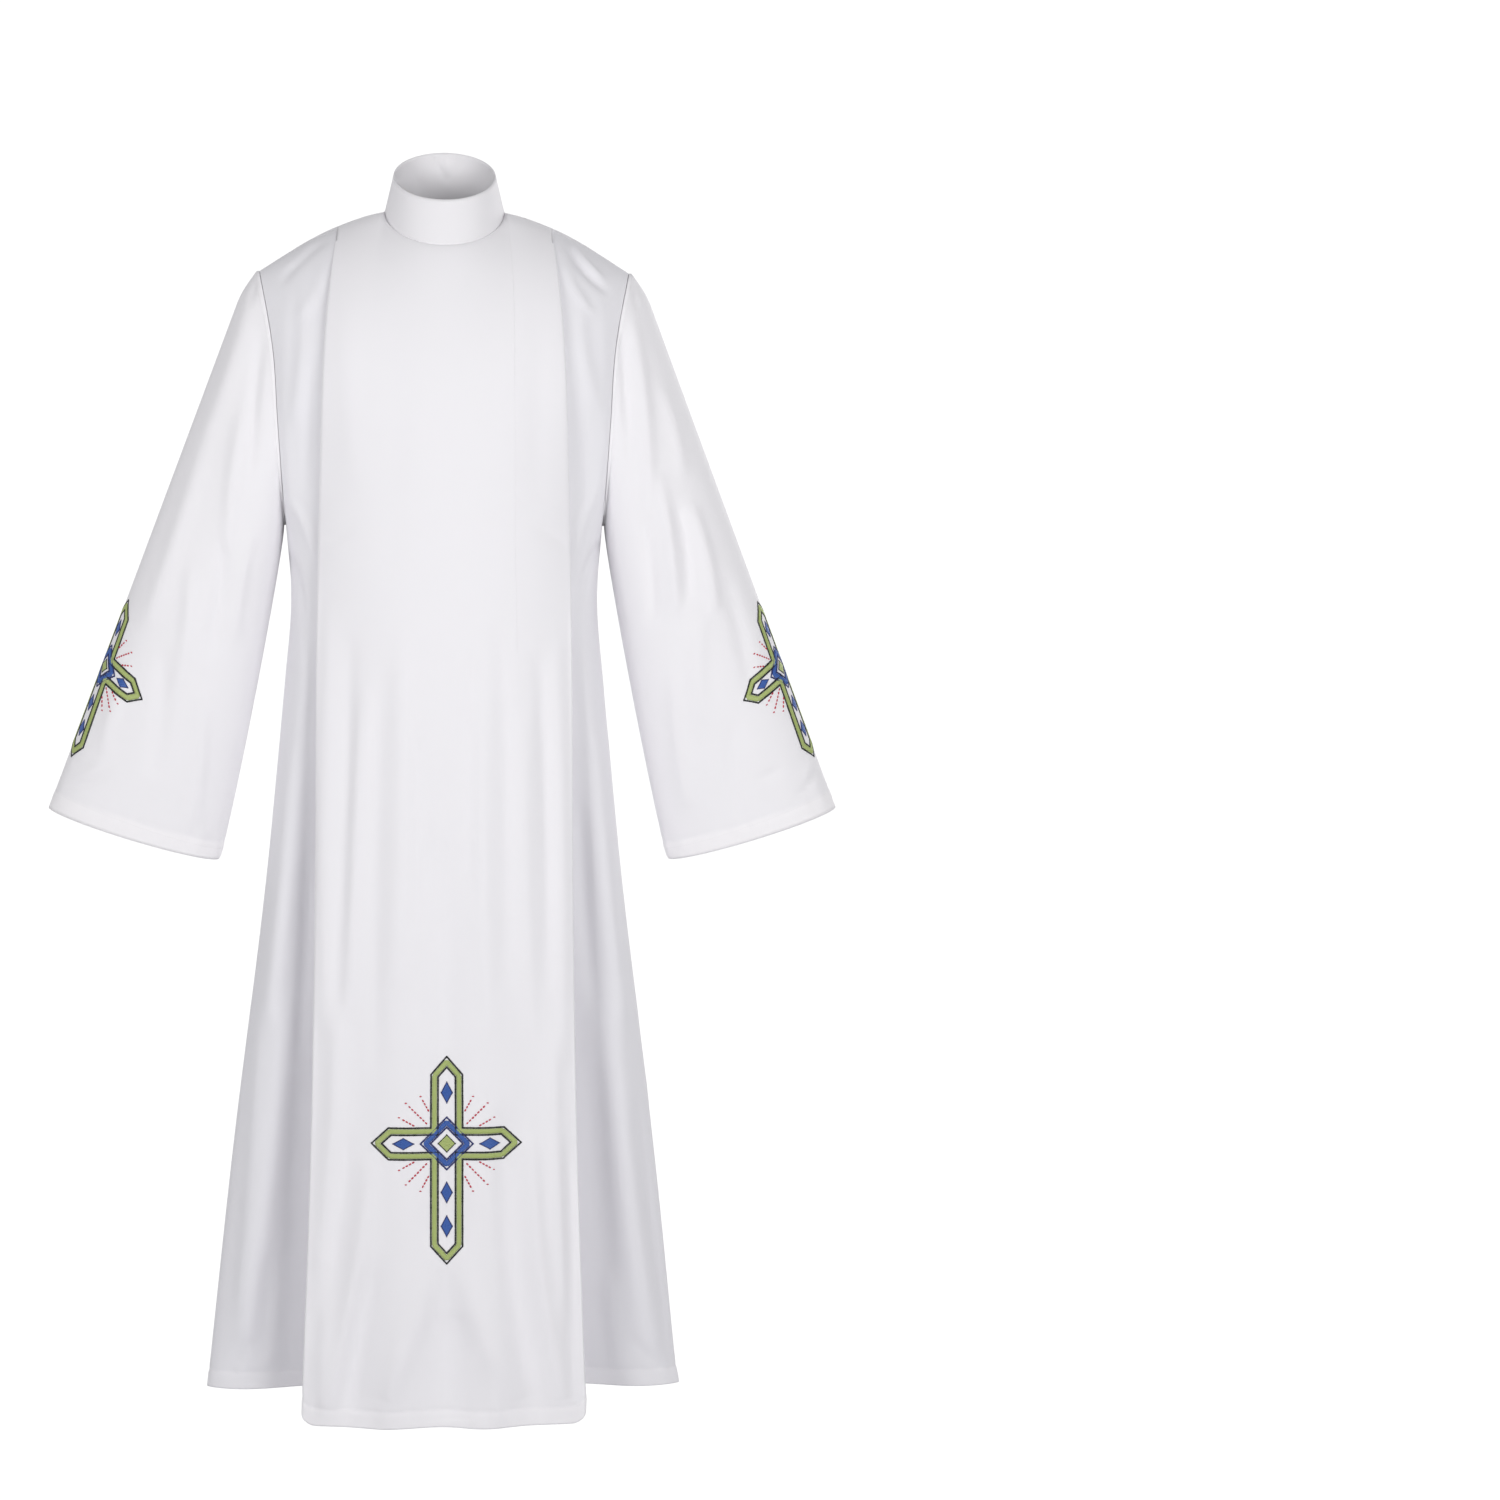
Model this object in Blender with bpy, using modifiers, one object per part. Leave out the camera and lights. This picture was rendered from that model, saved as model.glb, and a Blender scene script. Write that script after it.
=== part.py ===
# Priest's robe, worn by nobody: an ankle-length white alb in sewn panels.
# Metres, +Z up, front towards -Y, wearer's left towards +X.
# The origin is midway between the two points where the shoulders meet the neck.

import math
from collections import namedtuple

import bmesh
import bpy
from mathutils import Vector

mm = 0.001
wall = 1.5 * mm
collar_wall = 1.8 * mm
seam_gap = 0.3 * mm
shoulder_gap = 1.4 * mm
underarm_gap = 1.0 * mm
lip = 3 * mm

# Driving sizes
neck_x = 70 * mm
neck_front_y = -85 * mm
neck_back_y = 55 * mm
neck_front_z = -41 * mm
neck_back_z = 10 * mm
shoulder_x = 217.5 * mm
shoulder_z = -70 * mm
shoulder_fold_x = 126 * mm
underarm_z = -369 * mm
armhole_depth = 60 * mm
armhole_round = 0.5
return_width = 32 * mm
layer_step = 6.4 * mm
return_gap = 0.4 * mm
settling_depth = 150 * mm
hem_z = -1400 * mm
panel_hem_z = -1426 * mm
panel_fluting = 4 * mm
panel_flutes = 3
back_fluting = 9 * mm
back_flute_pitch = 124 * mm

# Powers and shares that round the curves
shoulder_bow = 1.35
edge_sharpness = 10
panel_roundness = 2.2
return_bend = 0.7
flute_fade = 6
side_gap_fade = 0.3
hidden_part = 0.25
recess_close_top = 5
recess_close_low = 1.6
cap_part = 0.06
inner_bow = 0.4
nearby = 0.02
halvings = 30
weld = 0.001 * mm

# How finely each sheet is cut
neck_columns = 12
shoulder_columns = 4
fold_columns = 4
return_columns = 3
hidden_columns = 3
side_columns = 10
back_side_columns = 8
upper_rows = 10
lower_rows = 18
sleeve_rows = 18
collar_rows = 4

# Columns that start on the neckline fan out to this distance from the middle at the chest
neck_fan_x = 96 * mm

Upper = namedtuple("Upper", "z half_width fold_x centre_front centre_back recess")
upper_levels = (
    Upper(-0.024, 0.2300, 0.1260, 0.100, 0.085, 0.0072),
    Upper(-0.070, 0.2175, 0.1303, 0.112, 0.100, 0.0074),
    Upper(-0.160, 0.2005, 0.1370, 0.124, 0.118, 0.0078),
    Upper(-0.250, 0.1945, 0.1405, 0.130, 0.125, 0.0085),
    Upper(-0.367, 0.1870, 0.1435, 0.130, 0.125, 0.0105),
)

# Below the arms: the centre panel's fold, then the side front's middle, ridge and seam
Front = namedtuple("Front", "z centre_y fold_x fold_y recess mid_x mid_y ridge_x ridge_y seam_x seam_y")
front_levels = (
    Front(-0.367, -0.130, 0.1435, -0.083, 0.0105, 0.170, -0.048, 0.183, -0.024, 0.187, 0.000),
    Front(-0.460, -0.131, 0.1453, -0.087, 0.0160, 0.170, -0.053, 0.180, -0.023, 0.1805, 0.004),
    Front(-0.550, -0.132, 0.1465, -0.091, 0.0220, 0.174, -0.056, 0.1875, -0.021, 0.1855, 0.008),
    Front(-0.800, -0.130, 0.1480, -0.096, 0.0450, 0.191, -0.051, 0.212, -0.013, 0.202, 0.020),
    Front(-1.100, -0.127, 0.1535, -0.101, 0.0740, 0.215, -0.038, 0.2500, -0.006, 0.228, 0.033),
    Front(-1.400, -0.125, 0.1640, -0.105, 0.1020, 0.235, -0.022, 0.283, 0.002, 0.248, 0.046),
)

Back = namedtuple("Back", "z centre_y mid_x mid_y ridge_x ridge_y")
back_levels = (
    Back(-0.367, 0.125, 0.110, 0.101, 0.174, 0.046),
    Back(-0.460, 0.123, 0.111, 0.101, 0.173, 0.049),
    Back(-0.550, 0.122, 0.113, 0.102, 0.178, 0.053),
    Back(-0.800, 0.129, 0.123, 0.111, 0.198, 0.064),
    Back(-1.100, 0.145, 0.139, 0.127, 0.231, 0.077),
    Back(-1.400, 0.165, 0.153, 0.146, 0.263, 0.092),
)

# Sleeve: the cuff seen from the front, and how the tube swells on its way there
cuff_outer = Vector((0.468, 0.010, -0.705))
cuff_inner = Vector((0.268, 0.010, -0.766))
cuff_half_depth = 48 * mm
cap_swell = 9 * mm
tube_swell = 7 * mm
inner_swell = 6 * mm
cuff_droop = 5 * mm

# Stand collar: its upper rim, tilted down towards the front
rim_x = 60 * mm
rim_front = Vector((0, -0.075, 0.012))
rim_back = Vector((0, 0.050, 0.073))

cloth_colour = (0.80, 0.80, 0.83, 1)
collar_colour = (0.74, 0.74, 0.78, 1)
cloth_roughness = 0.72


# Small maths

def mix(a, b, share):
    return a + (b - a) * share


def ease(share):
    share = min(max(share, 0.0), 1.0)
    return share * share * (3 - 2 * share)


def level(table, z):
    """The table's columns at height z, on a smooth curve through its rows."""
    last = len(table) - 1
    z = min(max(z, table[last].z), table[0].z)
    i = next(k for k in range(last) if z >= table[k + 1].z)
    above, top, low, below = table[max(i - 1, 0)], table[i], table[i + 1], table[min(i + 2, last)]
    span = low.z - top.z
    share = (z - top.z) / span
    cube, square = share**3, share**2
    values = []
    for a, b, c, d in zip(above, top, low, below):
        slope_top = (c - a) / (low.z - above.z) * span
        slope_low = (d - b) / (below.z - top.z) * span
        value = b * (2 * cube - 3 * square + 1) + c * (3 * square - 2 * cube)
        values.append(value + slope_top * (cube - 2 * square + share) + slope_low * (cube - square))
    return type(table[0])(*values)


def curve_point(points, share):
    """A point on the smooth curve through plan points; share runs from 0 to 1 over its spans."""
    spans = len(points) - 1
    i = min(int(share * spans), spans - 1)
    t = share * spans - i
    before, start, end, after = points[max(i - 1, 0)], points[i], points[i + 1], points[min(i + 2, spans)]
    slope_start, slope_end = (end - before) / 2, (after - start) / 2
    cube, square = t**3, t**2
    point = start * (2 * cube - 3 * square + 1) + end * (3 * square - 2 * cube)
    return point + slope_start * (cube - 2 * square + t) + slope_end * (cube - square)


# The body's form

def shoulder_line(x):
    """Height of the shoulder seam at x, from the neck to the sleeve."""
    share = max(abs(x) - neck_x, 0) / (shoulder_x - neck_x)
    return shoulder_z * share**shoulder_bow


def dome(share):
    """How far cloth that falls from the shoulder has come forward, against the depth below it."""
    return math.sqrt(1 - (1 - min(share / armhole_round, 1.0)) ** 2)


def edge_depth(share):
    """Half the armhole's depth at a share of its height."""
    if share < armhole_round:
        return armhole_depth
    return max(armhole_depth * math.sqrt(max(1 - (2 * share - 1) ** 2, 0)), underarm_gap / 2)


def drop_share(row):
    """Shares of the way from the shoulder to the underarm, closest at both ends."""
    return (1 - math.cos(math.pi * row / upper_rows)) / 2


def chest(top, across, share, side):
    """A point between shoulder and underarm: its column starts at top, and across gives its x at a level."""
    z = mix(top.z, underarm_z, share)
    here = level(upper_levels, z)
    out = dome(share)
    x = across(here) + (top.x - across(level(upper_levels, top.z))) * (1 - out)
    depth = here.centre_front if side < 0 else here.centre_back
    aside = abs(x) / here.half_width
    rest = armhole_depth * (1 - ease(2 * share - 1))
    crown = math.sqrt(max(1 - aside**2 * (1 - (rest / depth) ** 2), 0))
    y = depth * crown + (edge_depth(share) - rest) * aside**edge_sharpness
    return Vector((x, mix(top.y, side * y, out), z))


def moved_in(at, share, distance):
    """The point at(share) of a front, moved into the garment, square to the cloth as seen from the side."""
    along = at(min(share + nearby, 1)) - at(max(share - nearby, 0))
    out = Vector((0, along.z, -along.y)).normalized()
    return at(share) - out * distance


def row_height(row, bottom):
    return mix(underarm_z, bottom, row / lower_rows)


def settled(point, upper_end, lower_start):
    """A point below the arms, eased from where the cloth above the underarm ends to its own curve."""
    fade = 1 - ease((underarm_z - point.z) / settling_depth)
    return point + (upper_end - lower_start) * fade


# Centre front: a panel from the neck to the hem, each long edge folded under

def panel_share(column):
    """A panel column's x at the chest as a share of the fold's, its x at the top, and its neckline angle."""
    half_neck = neck_columns // 2
    fan = neck_fan_x / level(front_levels, underarm_z).fold_x
    if abs(column) < half_neck:
        angle = math.pi / 2 * column / half_neck
        return fan * column / half_neck, neck_x * math.sin(angle), angle
    beyond = min((abs(column) - half_neck) / shoulder_columns, 1)
    hand = math.copysign(1, column)
    return hand * mix(fan, 1, beyond), hand * mix(neck_x, shoulder_fold_x, beyond), None


def front_top(x, angle=None):
    """Where a front column starts: on the neckline, or on the shoulder seam."""
    if angle is None:
        return Vector((x, -shoulder_gap / 2, shoulder_line(x)))
    return Vector((x, neck_front_y * math.cos(angle), neck_front_z * math.cos(angle)))


def panel_upper(column, aside=0.0):
    """A panel column above the underarm; aside moves it along the cloth from there."""
    share, top_x, angle = panel_share(column)
    top = front_top(top_x + aside, angle)
    return lambda drop: chest(top, lambda here: share * here.fold_x + aside, drop, -1)


def panel_lower(share, z):
    here = level(front_levels, z)
    fall = ease((underarm_z - z) / (underarm_z - hem_z))
    wave = panel_fluting * fall * math.cos(share * math.pi * panel_flutes) * (1 - share**2)
    depth = mix(here.centre_y, here.fold_y, abs(share) ** panel_roundness)
    return Vector((share * here.fold_x, depth + wave, z))


def under_fold(column, deep):
    """How far a column past the fold stands out sideways from it, and how deep it lies behind the panel."""
    beyond = abs(column) - neck_columns // 2 - shoulder_columns
    turn = math.pi * min(max(beyond / fold_columns, 0), 1)
    inward = max(beyond - fold_columns, 0) / return_columns
    radius = layer_step / 2
    aside = radius * math.sin(turn) - return_width * inward
    depth = radius * (1 - math.cos(turn)) + (deep - 2 * radius) * ease(inward) ** return_bend
    return math.copysign(aside, aside * column), depth


def panel_point(column, row):
    """A point of the centre panel. Columns past the fold run round it and back under the panel."""
    share = panel_share(column)[0]
    drop = drop_share(min(row, upper_rows))
    z = row_height(max(row - upper_rows, 0), panel_hem_z)
    upper_z = mix(shoulder_line(shoulder_fold_x), underarm_z, drop)
    recess = level(upper_levels, upper_z).recess if row <= upper_rows else level(front_levels, z).recess
    aside, depth = under_fold(column, recess - return_gap)
    above = moved_in(panel_upper(column, aside), drop, depth)
    if row <= upper_rows:
        return above
    aside_at_arm, depth_at_arm = under_fold(column, level(front_levels, underarm_z).recess - return_gap)
    end = moved_in(panel_upper(column, aside_at_arm), 1, depth_at_arm)
    start = panel_lower(share, underarm_z) + Vector((aside_at_arm, depth_at_arm, 0))
    return settled(panel_lower(share, z) + Vector((aside, depth, 0)), end, start)


# Side fronts: from behind the fold to the armhole and the side seam

def side_gap(z):
    """The side seam's gap on the outside, wider under the arm, where the walls lean together."""
    fall = (underarm_z - z) / (underarm_z - hem_z)
    return mix(underarm_gap, seam_gap, ease(fall / side_gap_fade))


def side_curve(z):
    """Plan of a side front at height z: hidden edge, fold, middle, ridge and side seam."""
    here = level(front_levels, z)
    behind = here.fold_y + here.recess
    return (
        Vector((here.fold_x - return_width, behind, 0)),
        Vector((here.fold_x, behind, 0)),
        Vector((here.mid_x, here.mid_y, 0)),
        Vector((here.ridge_x, here.ridge_y, 0)),
        Vector((here.seam_x, here.seam_y - side_gap(z) / 2, 0)),
    )


def side_point(column, row):
    hidden = min(column / hidden_columns, 1)
    shown = max(column - hidden_columns, 0) / side_columns
    along = mix(hidden_part * hidden, 1, shown)
    under = curve_point(side_curve(underarm_z), along)
    arm = level(front_levels, underarm_z)
    outward = (under.x - arm.fold_x) / (arm.seam_x - arm.fold_x) if shown else 0

    def across(here):
        return mix(here.fold_x - return_width * (1 - hidden), here.half_width, outward)

    def face(drop):
        return chest(top, across, drop, -1)

    top = front_top(mix(shoulder_fold_x - return_width * (1 - hidden), shoulder_x, outward))
    drop = drop_share(min(row, upper_rows))
    recess = level(upper_levels, face(drop).z).recess
    closing = mix(recess_close_top, recess_close_low, dome(drop))
    above = moved_in(face, drop, recess * (1 - ease(shown * closing)))
    if row <= upper_rows:
        return above
    z = row_height(row - upper_rows, hem_z)
    below = curve_point(side_curve(z), along) + Vector((0, 0, z))
    return settled(below, above, under + Vector((0, 0, underarm_z)))


# Back: one panel from side to side

def back_curve(z):
    """Plan of the back at height z, from beyond its middle to the side seam."""
    here = level(back_levels, z)
    return (
        Vector((-here.mid_x, here.mid_y, 0)),
        Vector((0, here.centre_y, 0)),
        Vector((here.mid_x, here.mid_y, 0)),
        Vector((here.ridge_x, here.ridge_y, 0)),
        Vector((level(front_levels, z).seam_x, level(front_levels, z).seam_y + side_gap(z) / 2, 0)),
    )


def back_along(column):
    """Where a back column lies along the back's plan curve, and its angle round the neckline."""
    half_neck = neck_columns // 2
    angle = math.pi / 2 * min(column / half_neck, 1)
    wanted = neck_fan_x * min(column / half_neck, 1)
    low, high = hidden_part, 1.0
    for _ in range(halvings):
        middle = (low + high) / 2
        if curve_point(back_curve(underarm_z), middle).x < wanted:
            low = middle
        else:
            high = middle
    if column < half_neck:
        return low, angle
    return mix(low, 1, (column - half_neck) / back_side_columns), None


def back_point(column, row):
    along, angle = back_along(abs(column))
    under = curve_point(back_curve(underarm_z), along)
    share = under.x / level(front_levels, underarm_z).seam_x
    if angle is None:
        beyond = (abs(column) - neck_columns // 2) / back_side_columns
        top_x = mix(neck_x, shoulder_x, beyond)
        top = Vector((top_x, shoulder_gap / 2, shoulder_line(top_x)))
    else:
        forward = math.cos(angle)
        top = Vector((neck_x * math.sin(angle), neck_back_y * forward, neck_back_z * forward))
    point = chest(top, lambda here: share * here.half_width, drop_share(min(row, upper_rows)), 1)
    if row > upper_rows:
        z = row_height(row - upper_rows, hem_z)
        fall = ease((underarm_z - z) / (underarm_z - hem_z))
        below = curve_point(back_curve(z), along) + Vector((0, 0, z))
        wave = math.cos(math.tau * below.x / back_flute_pitch)
        below.y += back_fluting * fall * wave * (1 - share**flute_fade)
        point = settled(below, point, under + Vector((0, 0, underarm_z)))
    return Vector((math.copysign(point.x, column), point.y, point.z))


# Sleeves: tubes from the armhole to an open cuff

def armhole_point(step):
    """A point of the armhole seam, its angle and its side. Steps run down the front and up the back."""
    side = -1 if step <= upper_rows else 1
    row = step if step <= upper_rows else 2 * upper_rows - step
    drop = drop_share(row)
    z = mix(shoulder_z, underarm_z, drop)
    depth = side * edge_depth(drop) * dome(drop)
    return Vector((level(upper_levels, z).half_width, depth, z)), math.pi * row / upper_rows, side


def sleeve_point(step, row):
    start, angle, side = armhole_point(step)
    start.x += seam_gap + (lip if row > 0 else 0)
    if row <= 1:
        return start
    share = (row - 1) / (sleeve_rows - 1)
    centre, outward = (cuff_outer + cuff_inner) / 2, (cuff_outer - cuff_inner) / 2
    end = centre + outward * math.cos(angle) + Vector((0, side * cuff_half_depth * math.sin(angle), 0))
    cap = cap_swell * math.sin(math.pi / 2 * min(share / cap_part, 1)) * (1 - share) * max(math.cos(angle), 0)
    swell = tube_swell * math.sin(math.pi * share) * side * math.sin(angle)
    inward = inner_swell * math.sin(math.pi * share) ** inner_bow * max(-math.cos(angle), 0)
    droop = cuff_droop * math.sin(angle) * share
    return start.lerp(end, share) + Vector((cap - inward, swell, -droop))


# Collar: a standing band on the neckline

def collar_point(step, row):
    steps = 2 * neck_columns
    angle = math.tau * step / steps
    across, along = math.sin(angle), math.cos(angle)
    base_y = (neck_front_y if along > 0 else -neck_back_y) * along
    base_z = (neck_front_z if along > 0 else -neck_back_z) * along
    base = Vector((neck_x * across, base_y, base_z + seam_gap))
    rim_centre, rim_reach = (rim_front + rim_back) / 2, (rim_front - rim_back) / 2
    rim = rim_centre + rim_reach * along + Vector((rim_x * across, 0, 0))
    share = row / collar_rows
    return base.lerp(rim, share)


# Making the sheets

def cloth(name, colour):
    made = bpy.data.materials.new(name)
    made.use_nodes = True
    shader = made.node_tree.nodes["Principled BSDF"]
    shader.inputs["Base Color"].default_value = colour
    shader.inputs["Roughness"].default_value = cloth_roughness
    shader.inputs["Metallic"].default_value = 0
    return made


def sheet(
    name, columns, rows, place, thickness=wall, colour=cloth_colour, closed=False, turned=False
):
    """A grid whose points place(column, row) sets, rows counted from the top, with a cloth wall inside it."""
    shape = bmesh.new()
    bmesh.ops.create_grid(shape, x_segments=columns, y_segments=rows, size=0.5)
    for point in shape.verts:
        column = round((point.co.x + 0.5) * columns)
        row = rows - round((point.co.y + 0.5) * rows)
        point.co = place(column, row)
    if closed:
        bmesh.ops.remove_doubles(shape, verts=shape.verts, dist=weld)
    if turned:
        bmesh.ops.reverse_faces(shape, faces=shape.faces)
    mesh = bpy.data.meshes.new(name)
    for face in shape.faces:
        face.smooth = True
    shape.to_mesh(mesh)
    shape.free()
    piece = bpy.data.objects.new(name, mesh)
    parts.objects.link(piece)
    mesh.materials.append(cloth(name + "_cloth", colour))
    thicken = piece.modifiers.new("Wall", "SOLIDIFY")
    thicken.thickness = thickness
    thicken.offset = -1
    return piece


for old in list(bpy.data.objects):
    bpy.data.objects.remove(old)

parts = bpy.data.collections.new("PriestRobe")
bpy.context.scene.collection.children.link(parts)

body_rows = upper_rows + lower_rows

panel_half = neck_columns // 2 + shoulder_columns + fold_columns + return_columns
sheet("front_centre", 2 * panel_half, body_rows, lambda column, row: panel_point(column - panel_half, row))

for name, hand in (("side_front_left", 1), ("side_front_right", -1)):
    sheet(
        name,
        hidden_columns + side_columns,
        body_rows,
        lambda column, row: side_point(column, row) * Vector((hand, 1, 1)),
        turned=hand < 0,
    )

back_half = neck_columns // 2 + back_side_columns
sheet(
    "back",
    2 * back_half,
    body_rows,
    lambda column, row: back_point(column - back_half, row),
    turned=True,
)

for name, hand in (("sleeve_left", 1), ("sleeve_right", -1)):
    sheet(
        name,
        2 * upper_rows,
        sleeve_rows,
        lambda step, row: sleeve_point(step, row) * Vector((hand, 1, 1)),
        closed=True,
        turned=hand > 0,
    )

sheet(
    "collar",
    2 * neck_columns,
    collar_rows,
    lambda step, row: collar_point(step, collar_rows - row),
    collar_wall,
    collar_colour,
    closed=True,
)
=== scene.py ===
# A white priest's robe, filled out and upright with nobody in it: thin cloth shells on the packed
# solids, with their creases, sewing and embroidery. Metres, +Z up, front towards -Y.

import math
from collections import namedtuple

import bpy
import numpy as np
from mathutils import Matrix, Vector


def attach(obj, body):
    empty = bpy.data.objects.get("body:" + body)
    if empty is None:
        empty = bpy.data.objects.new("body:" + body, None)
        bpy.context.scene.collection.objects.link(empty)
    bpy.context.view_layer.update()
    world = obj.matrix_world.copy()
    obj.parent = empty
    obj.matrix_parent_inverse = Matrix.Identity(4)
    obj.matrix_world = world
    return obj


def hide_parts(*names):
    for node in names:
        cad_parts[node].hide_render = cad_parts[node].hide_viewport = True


mm = 0.001

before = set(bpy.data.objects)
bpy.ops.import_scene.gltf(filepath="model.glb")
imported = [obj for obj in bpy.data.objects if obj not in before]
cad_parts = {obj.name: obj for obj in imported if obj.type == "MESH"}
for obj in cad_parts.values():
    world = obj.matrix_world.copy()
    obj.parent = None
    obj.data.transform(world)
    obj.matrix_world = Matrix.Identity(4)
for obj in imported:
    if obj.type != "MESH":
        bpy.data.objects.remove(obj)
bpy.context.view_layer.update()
scene = bpy.context.scene


# Materials

def toLinear(code):
    # sRGB hex, such as "E6E6EA", to the linear colour that a shader takes
    parts = [int(code[i:i + 2], 16) / 255 for i in (0, 2, 4)]
    linear = [c / 12.92 if c <= 0.04045 else ((c + 0.055) / 1.055) ** 2.4 for c in parts]
    return (*linear, 1.0)


def addNode(tree, kind, settings=None, **links):
    # settings are the node's properties, links its inputs, as values or as other nodes' outputs,
    # and an input without a name of its own is called i and its number
    node = tree.nodes.new(kind)
    for name, value in (settings or {}).items():
        setattr(node, name, value)
    for name, value in links.items():
        isNumber = name[0] == "i" and name[1:].isdigit()
        socket = node.inputs[int(name[1:]) if isNumber else name]
        if isinstance(value, bpy.types.NodeSocket):
            tree.links.new(value, socket)
        else:
            socket.default_value = value
    return node


def calculate(tree, operation, *values):
    inputs = {f"i{i}": value for i, value in enumerate(values)}
    return addNode(tree, "ShaderNodeMath", {"operation": operation}, **inputs).outputs[0]


def newMaterial(name, values):
    made = bpy.data.materials.new(name)
    made.use_nodes = True
    shader = made.node_tree.nodes["Principled BSDF"]
    for key, value in values.items():
        shader.inputs[key].default_value = value
    return made, made.node_tree, shader


def poplin(name, look):
    # Poplin of polyester and cotton, plain-woven and pressed: matt, with a faint silky sheen
    made, tree, shader = newMaterial(name, look["shader"])
    place = addNode(tree, "ShaderNodeUVMap", {"uv_map": "cloth"}).outputs["UV"]
    # real threads are about 0.25 mm apart, too fine for the render, so they are drawn further apart
    scale = 1 / (look["threadPitchMm"] * mm)
    spaced = addNode(tree, "ShaderNodeMapping", Vector=place, Scale=(scale, scale, scale))
    threadWays = []
    for direction in ("X", "Y"):
        bands = addNode(
            tree,
            "ShaderNodeTexWave",
            {"wave_type": "BANDS", "bands_direction": direction},
            Vector=spaced.outputs["Vector"],
            Scale=look["waveScale"],
            Distortion=look["waveDistortion"],
            Detail=look["waveDetail"],
        )
        threadWays.append(bands.outputs["Fac"])
    weave = calculate(tree, "ADD", *threadWays)
    slubs = addNode(
        tree, "ShaderNodeTexNoise", Vector=place, Scale=look["slubScale"], Detail=look["slubDetail"]
    )
    height = calculate(tree, "MULTIPLY_ADD", slubs.outputs["Fac"], look["slubShare"], weave)
    bump = addNode(
        tree,
        "ShaderNodeBump",
        Strength=look["weaveStrength"],
        Distance=look["weaveDepthMm"] * mm,
        Height=height,
    )
    tree.links.new(bump.outputs["Normal"], shader.inputs["Normal"])
    # painted shade: the cloth's colour runs from a greyer tint, standing for the dark hollow seen
    # through one layer, to a whiter one, for a turned-up hem or a lined piece, by a share given at
    # each point
    paintedLightShare = addNode(tree, "ShaderNodeAttribute", {"attribute_name": "paintedLightShare"})
    paintedShadeTint = addNode(
        tree,
        "ShaderNodeMix",
        {"data_type": "RGBA"},
        Factor=paintedLightShare.outputs["Fac"],
        i6=toLinear(look["paintedShadeHex"]),
        i7=toLinear(look["unshadedHex"]),
    )
    tree.links.new(paintedShadeTint.outputs[2], shader.inputs["Base Color"])
    return made


clothLook = {
    "shader": {
        "Roughness": 0.62,
        "Metallic": 0.0,
        "IOR": 1.5,
        "Sheen Weight": 0.25,
        "Sheen Roughness": 0.4,
        "Specular IOR Level": 0.35,
    },
    # painted shade: the greyer tint stands for one layer over the dark inside, the whiter one for
    # doubled cloth
    "paintedShadeHex": "EEEDF1",
    "unshadedHex": "FAF8FA",
    "threadPitchMm": 0.9,
    "waveScale": 2 / math.tau,
    "waveDistortion": 0.6,
    "waveDetail": 1.0,
    "slubScale": 260.0,
    "slubDetail": 4.0,
    "slubShare": 0.6,
    "weaveDepthMm": 0.12,
    "weaveStrength": 0.25,
}
robePoplin = poplin("whitePoplin", clothLook)

Thread = namedtuple("Thread", "hex roughness slot word")
threads = {
    "whiteCottonThread": Thread("F3F1F3", 0.6, "thread", "Topstitching"),
    "greenRayonFloss": Thread("AEBD74", 0.38, "green_thread", "Green"),
    "blackGreenRayonFloss": Thread("0E1512", 0.38, "dark_thread", "Edges"),
    "blueRayonFloss": Thread("385FAB", 0.38, "blue_thread", "Blue"),
    "navyRayonFloss": Thread("1B2566", 0.38, "blue_thread", "Navy"),
    "roseCottonFloss": Thread("C43C4C", 0.6, "red_thread", "Rose"),
}


def spun(name, kind):
    # Twisted thread: a clear colour, matt in cotton and with a soft silky shine in rayon
    colour = toLinear(kind.hex)
    look = {"Roughness": kind.roughness, "Metallic": 0.0, "IOR": 1.5, "Base Color": colour}
    return newMaterial(name, look)[0]


threadMaterials = {name: spun(name, kind) for name, kind in threads.items()}
print("materials made")


# Small maths, on whole arrays of points at once

def mix(a, b, share):
    return a + (b - a) * share


def ease(share):
    share = np.clip(share, 0.0, 1.0)
    return share * share * (3 - 2 * share)


def between(start, end, slopeStart, slopeEnd, t):
    # the smooth curve from start to end that leaves and arrives at the given slopes
    cube, square = t**3, t**2
    ends = start * (2 * cube - 3 * square + 1) + end * (3 * square - 2 * cube)
    return ends + slopeStart * (cube - 2 * square + t) + slopeEnd * (cube - square)


def atHeight(table, z):
    # the table's columns at the heights z, on smooth curves through its rows
    rows = np.array(table)
    last = len(rows) - 1
    z = np.clip(z, rows[last, 0], rows[0, 0])
    i = np.clip(np.searchsorted(-rows[:, 0], -z, side="left") - 1, 0, last - 1)
    above, top, low, below = (rows[np.clip(i + k, 0, last)] for k in (-1, 0, 1, 2))
    span = low[..., :1] - top[..., :1]
    slopeTop = (low - above) / (low[..., :1] - above[..., :1]) * span
    slopeLow = (below - top) / (below[..., :1] - top[..., :1]) * span
    share = (z[..., None] - top[..., :1]) / span
    values = between(top, low, slopeTop, slopeLow, share)
    return type(table[0])(*np.moveaxis(values, -1, 0))


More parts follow.
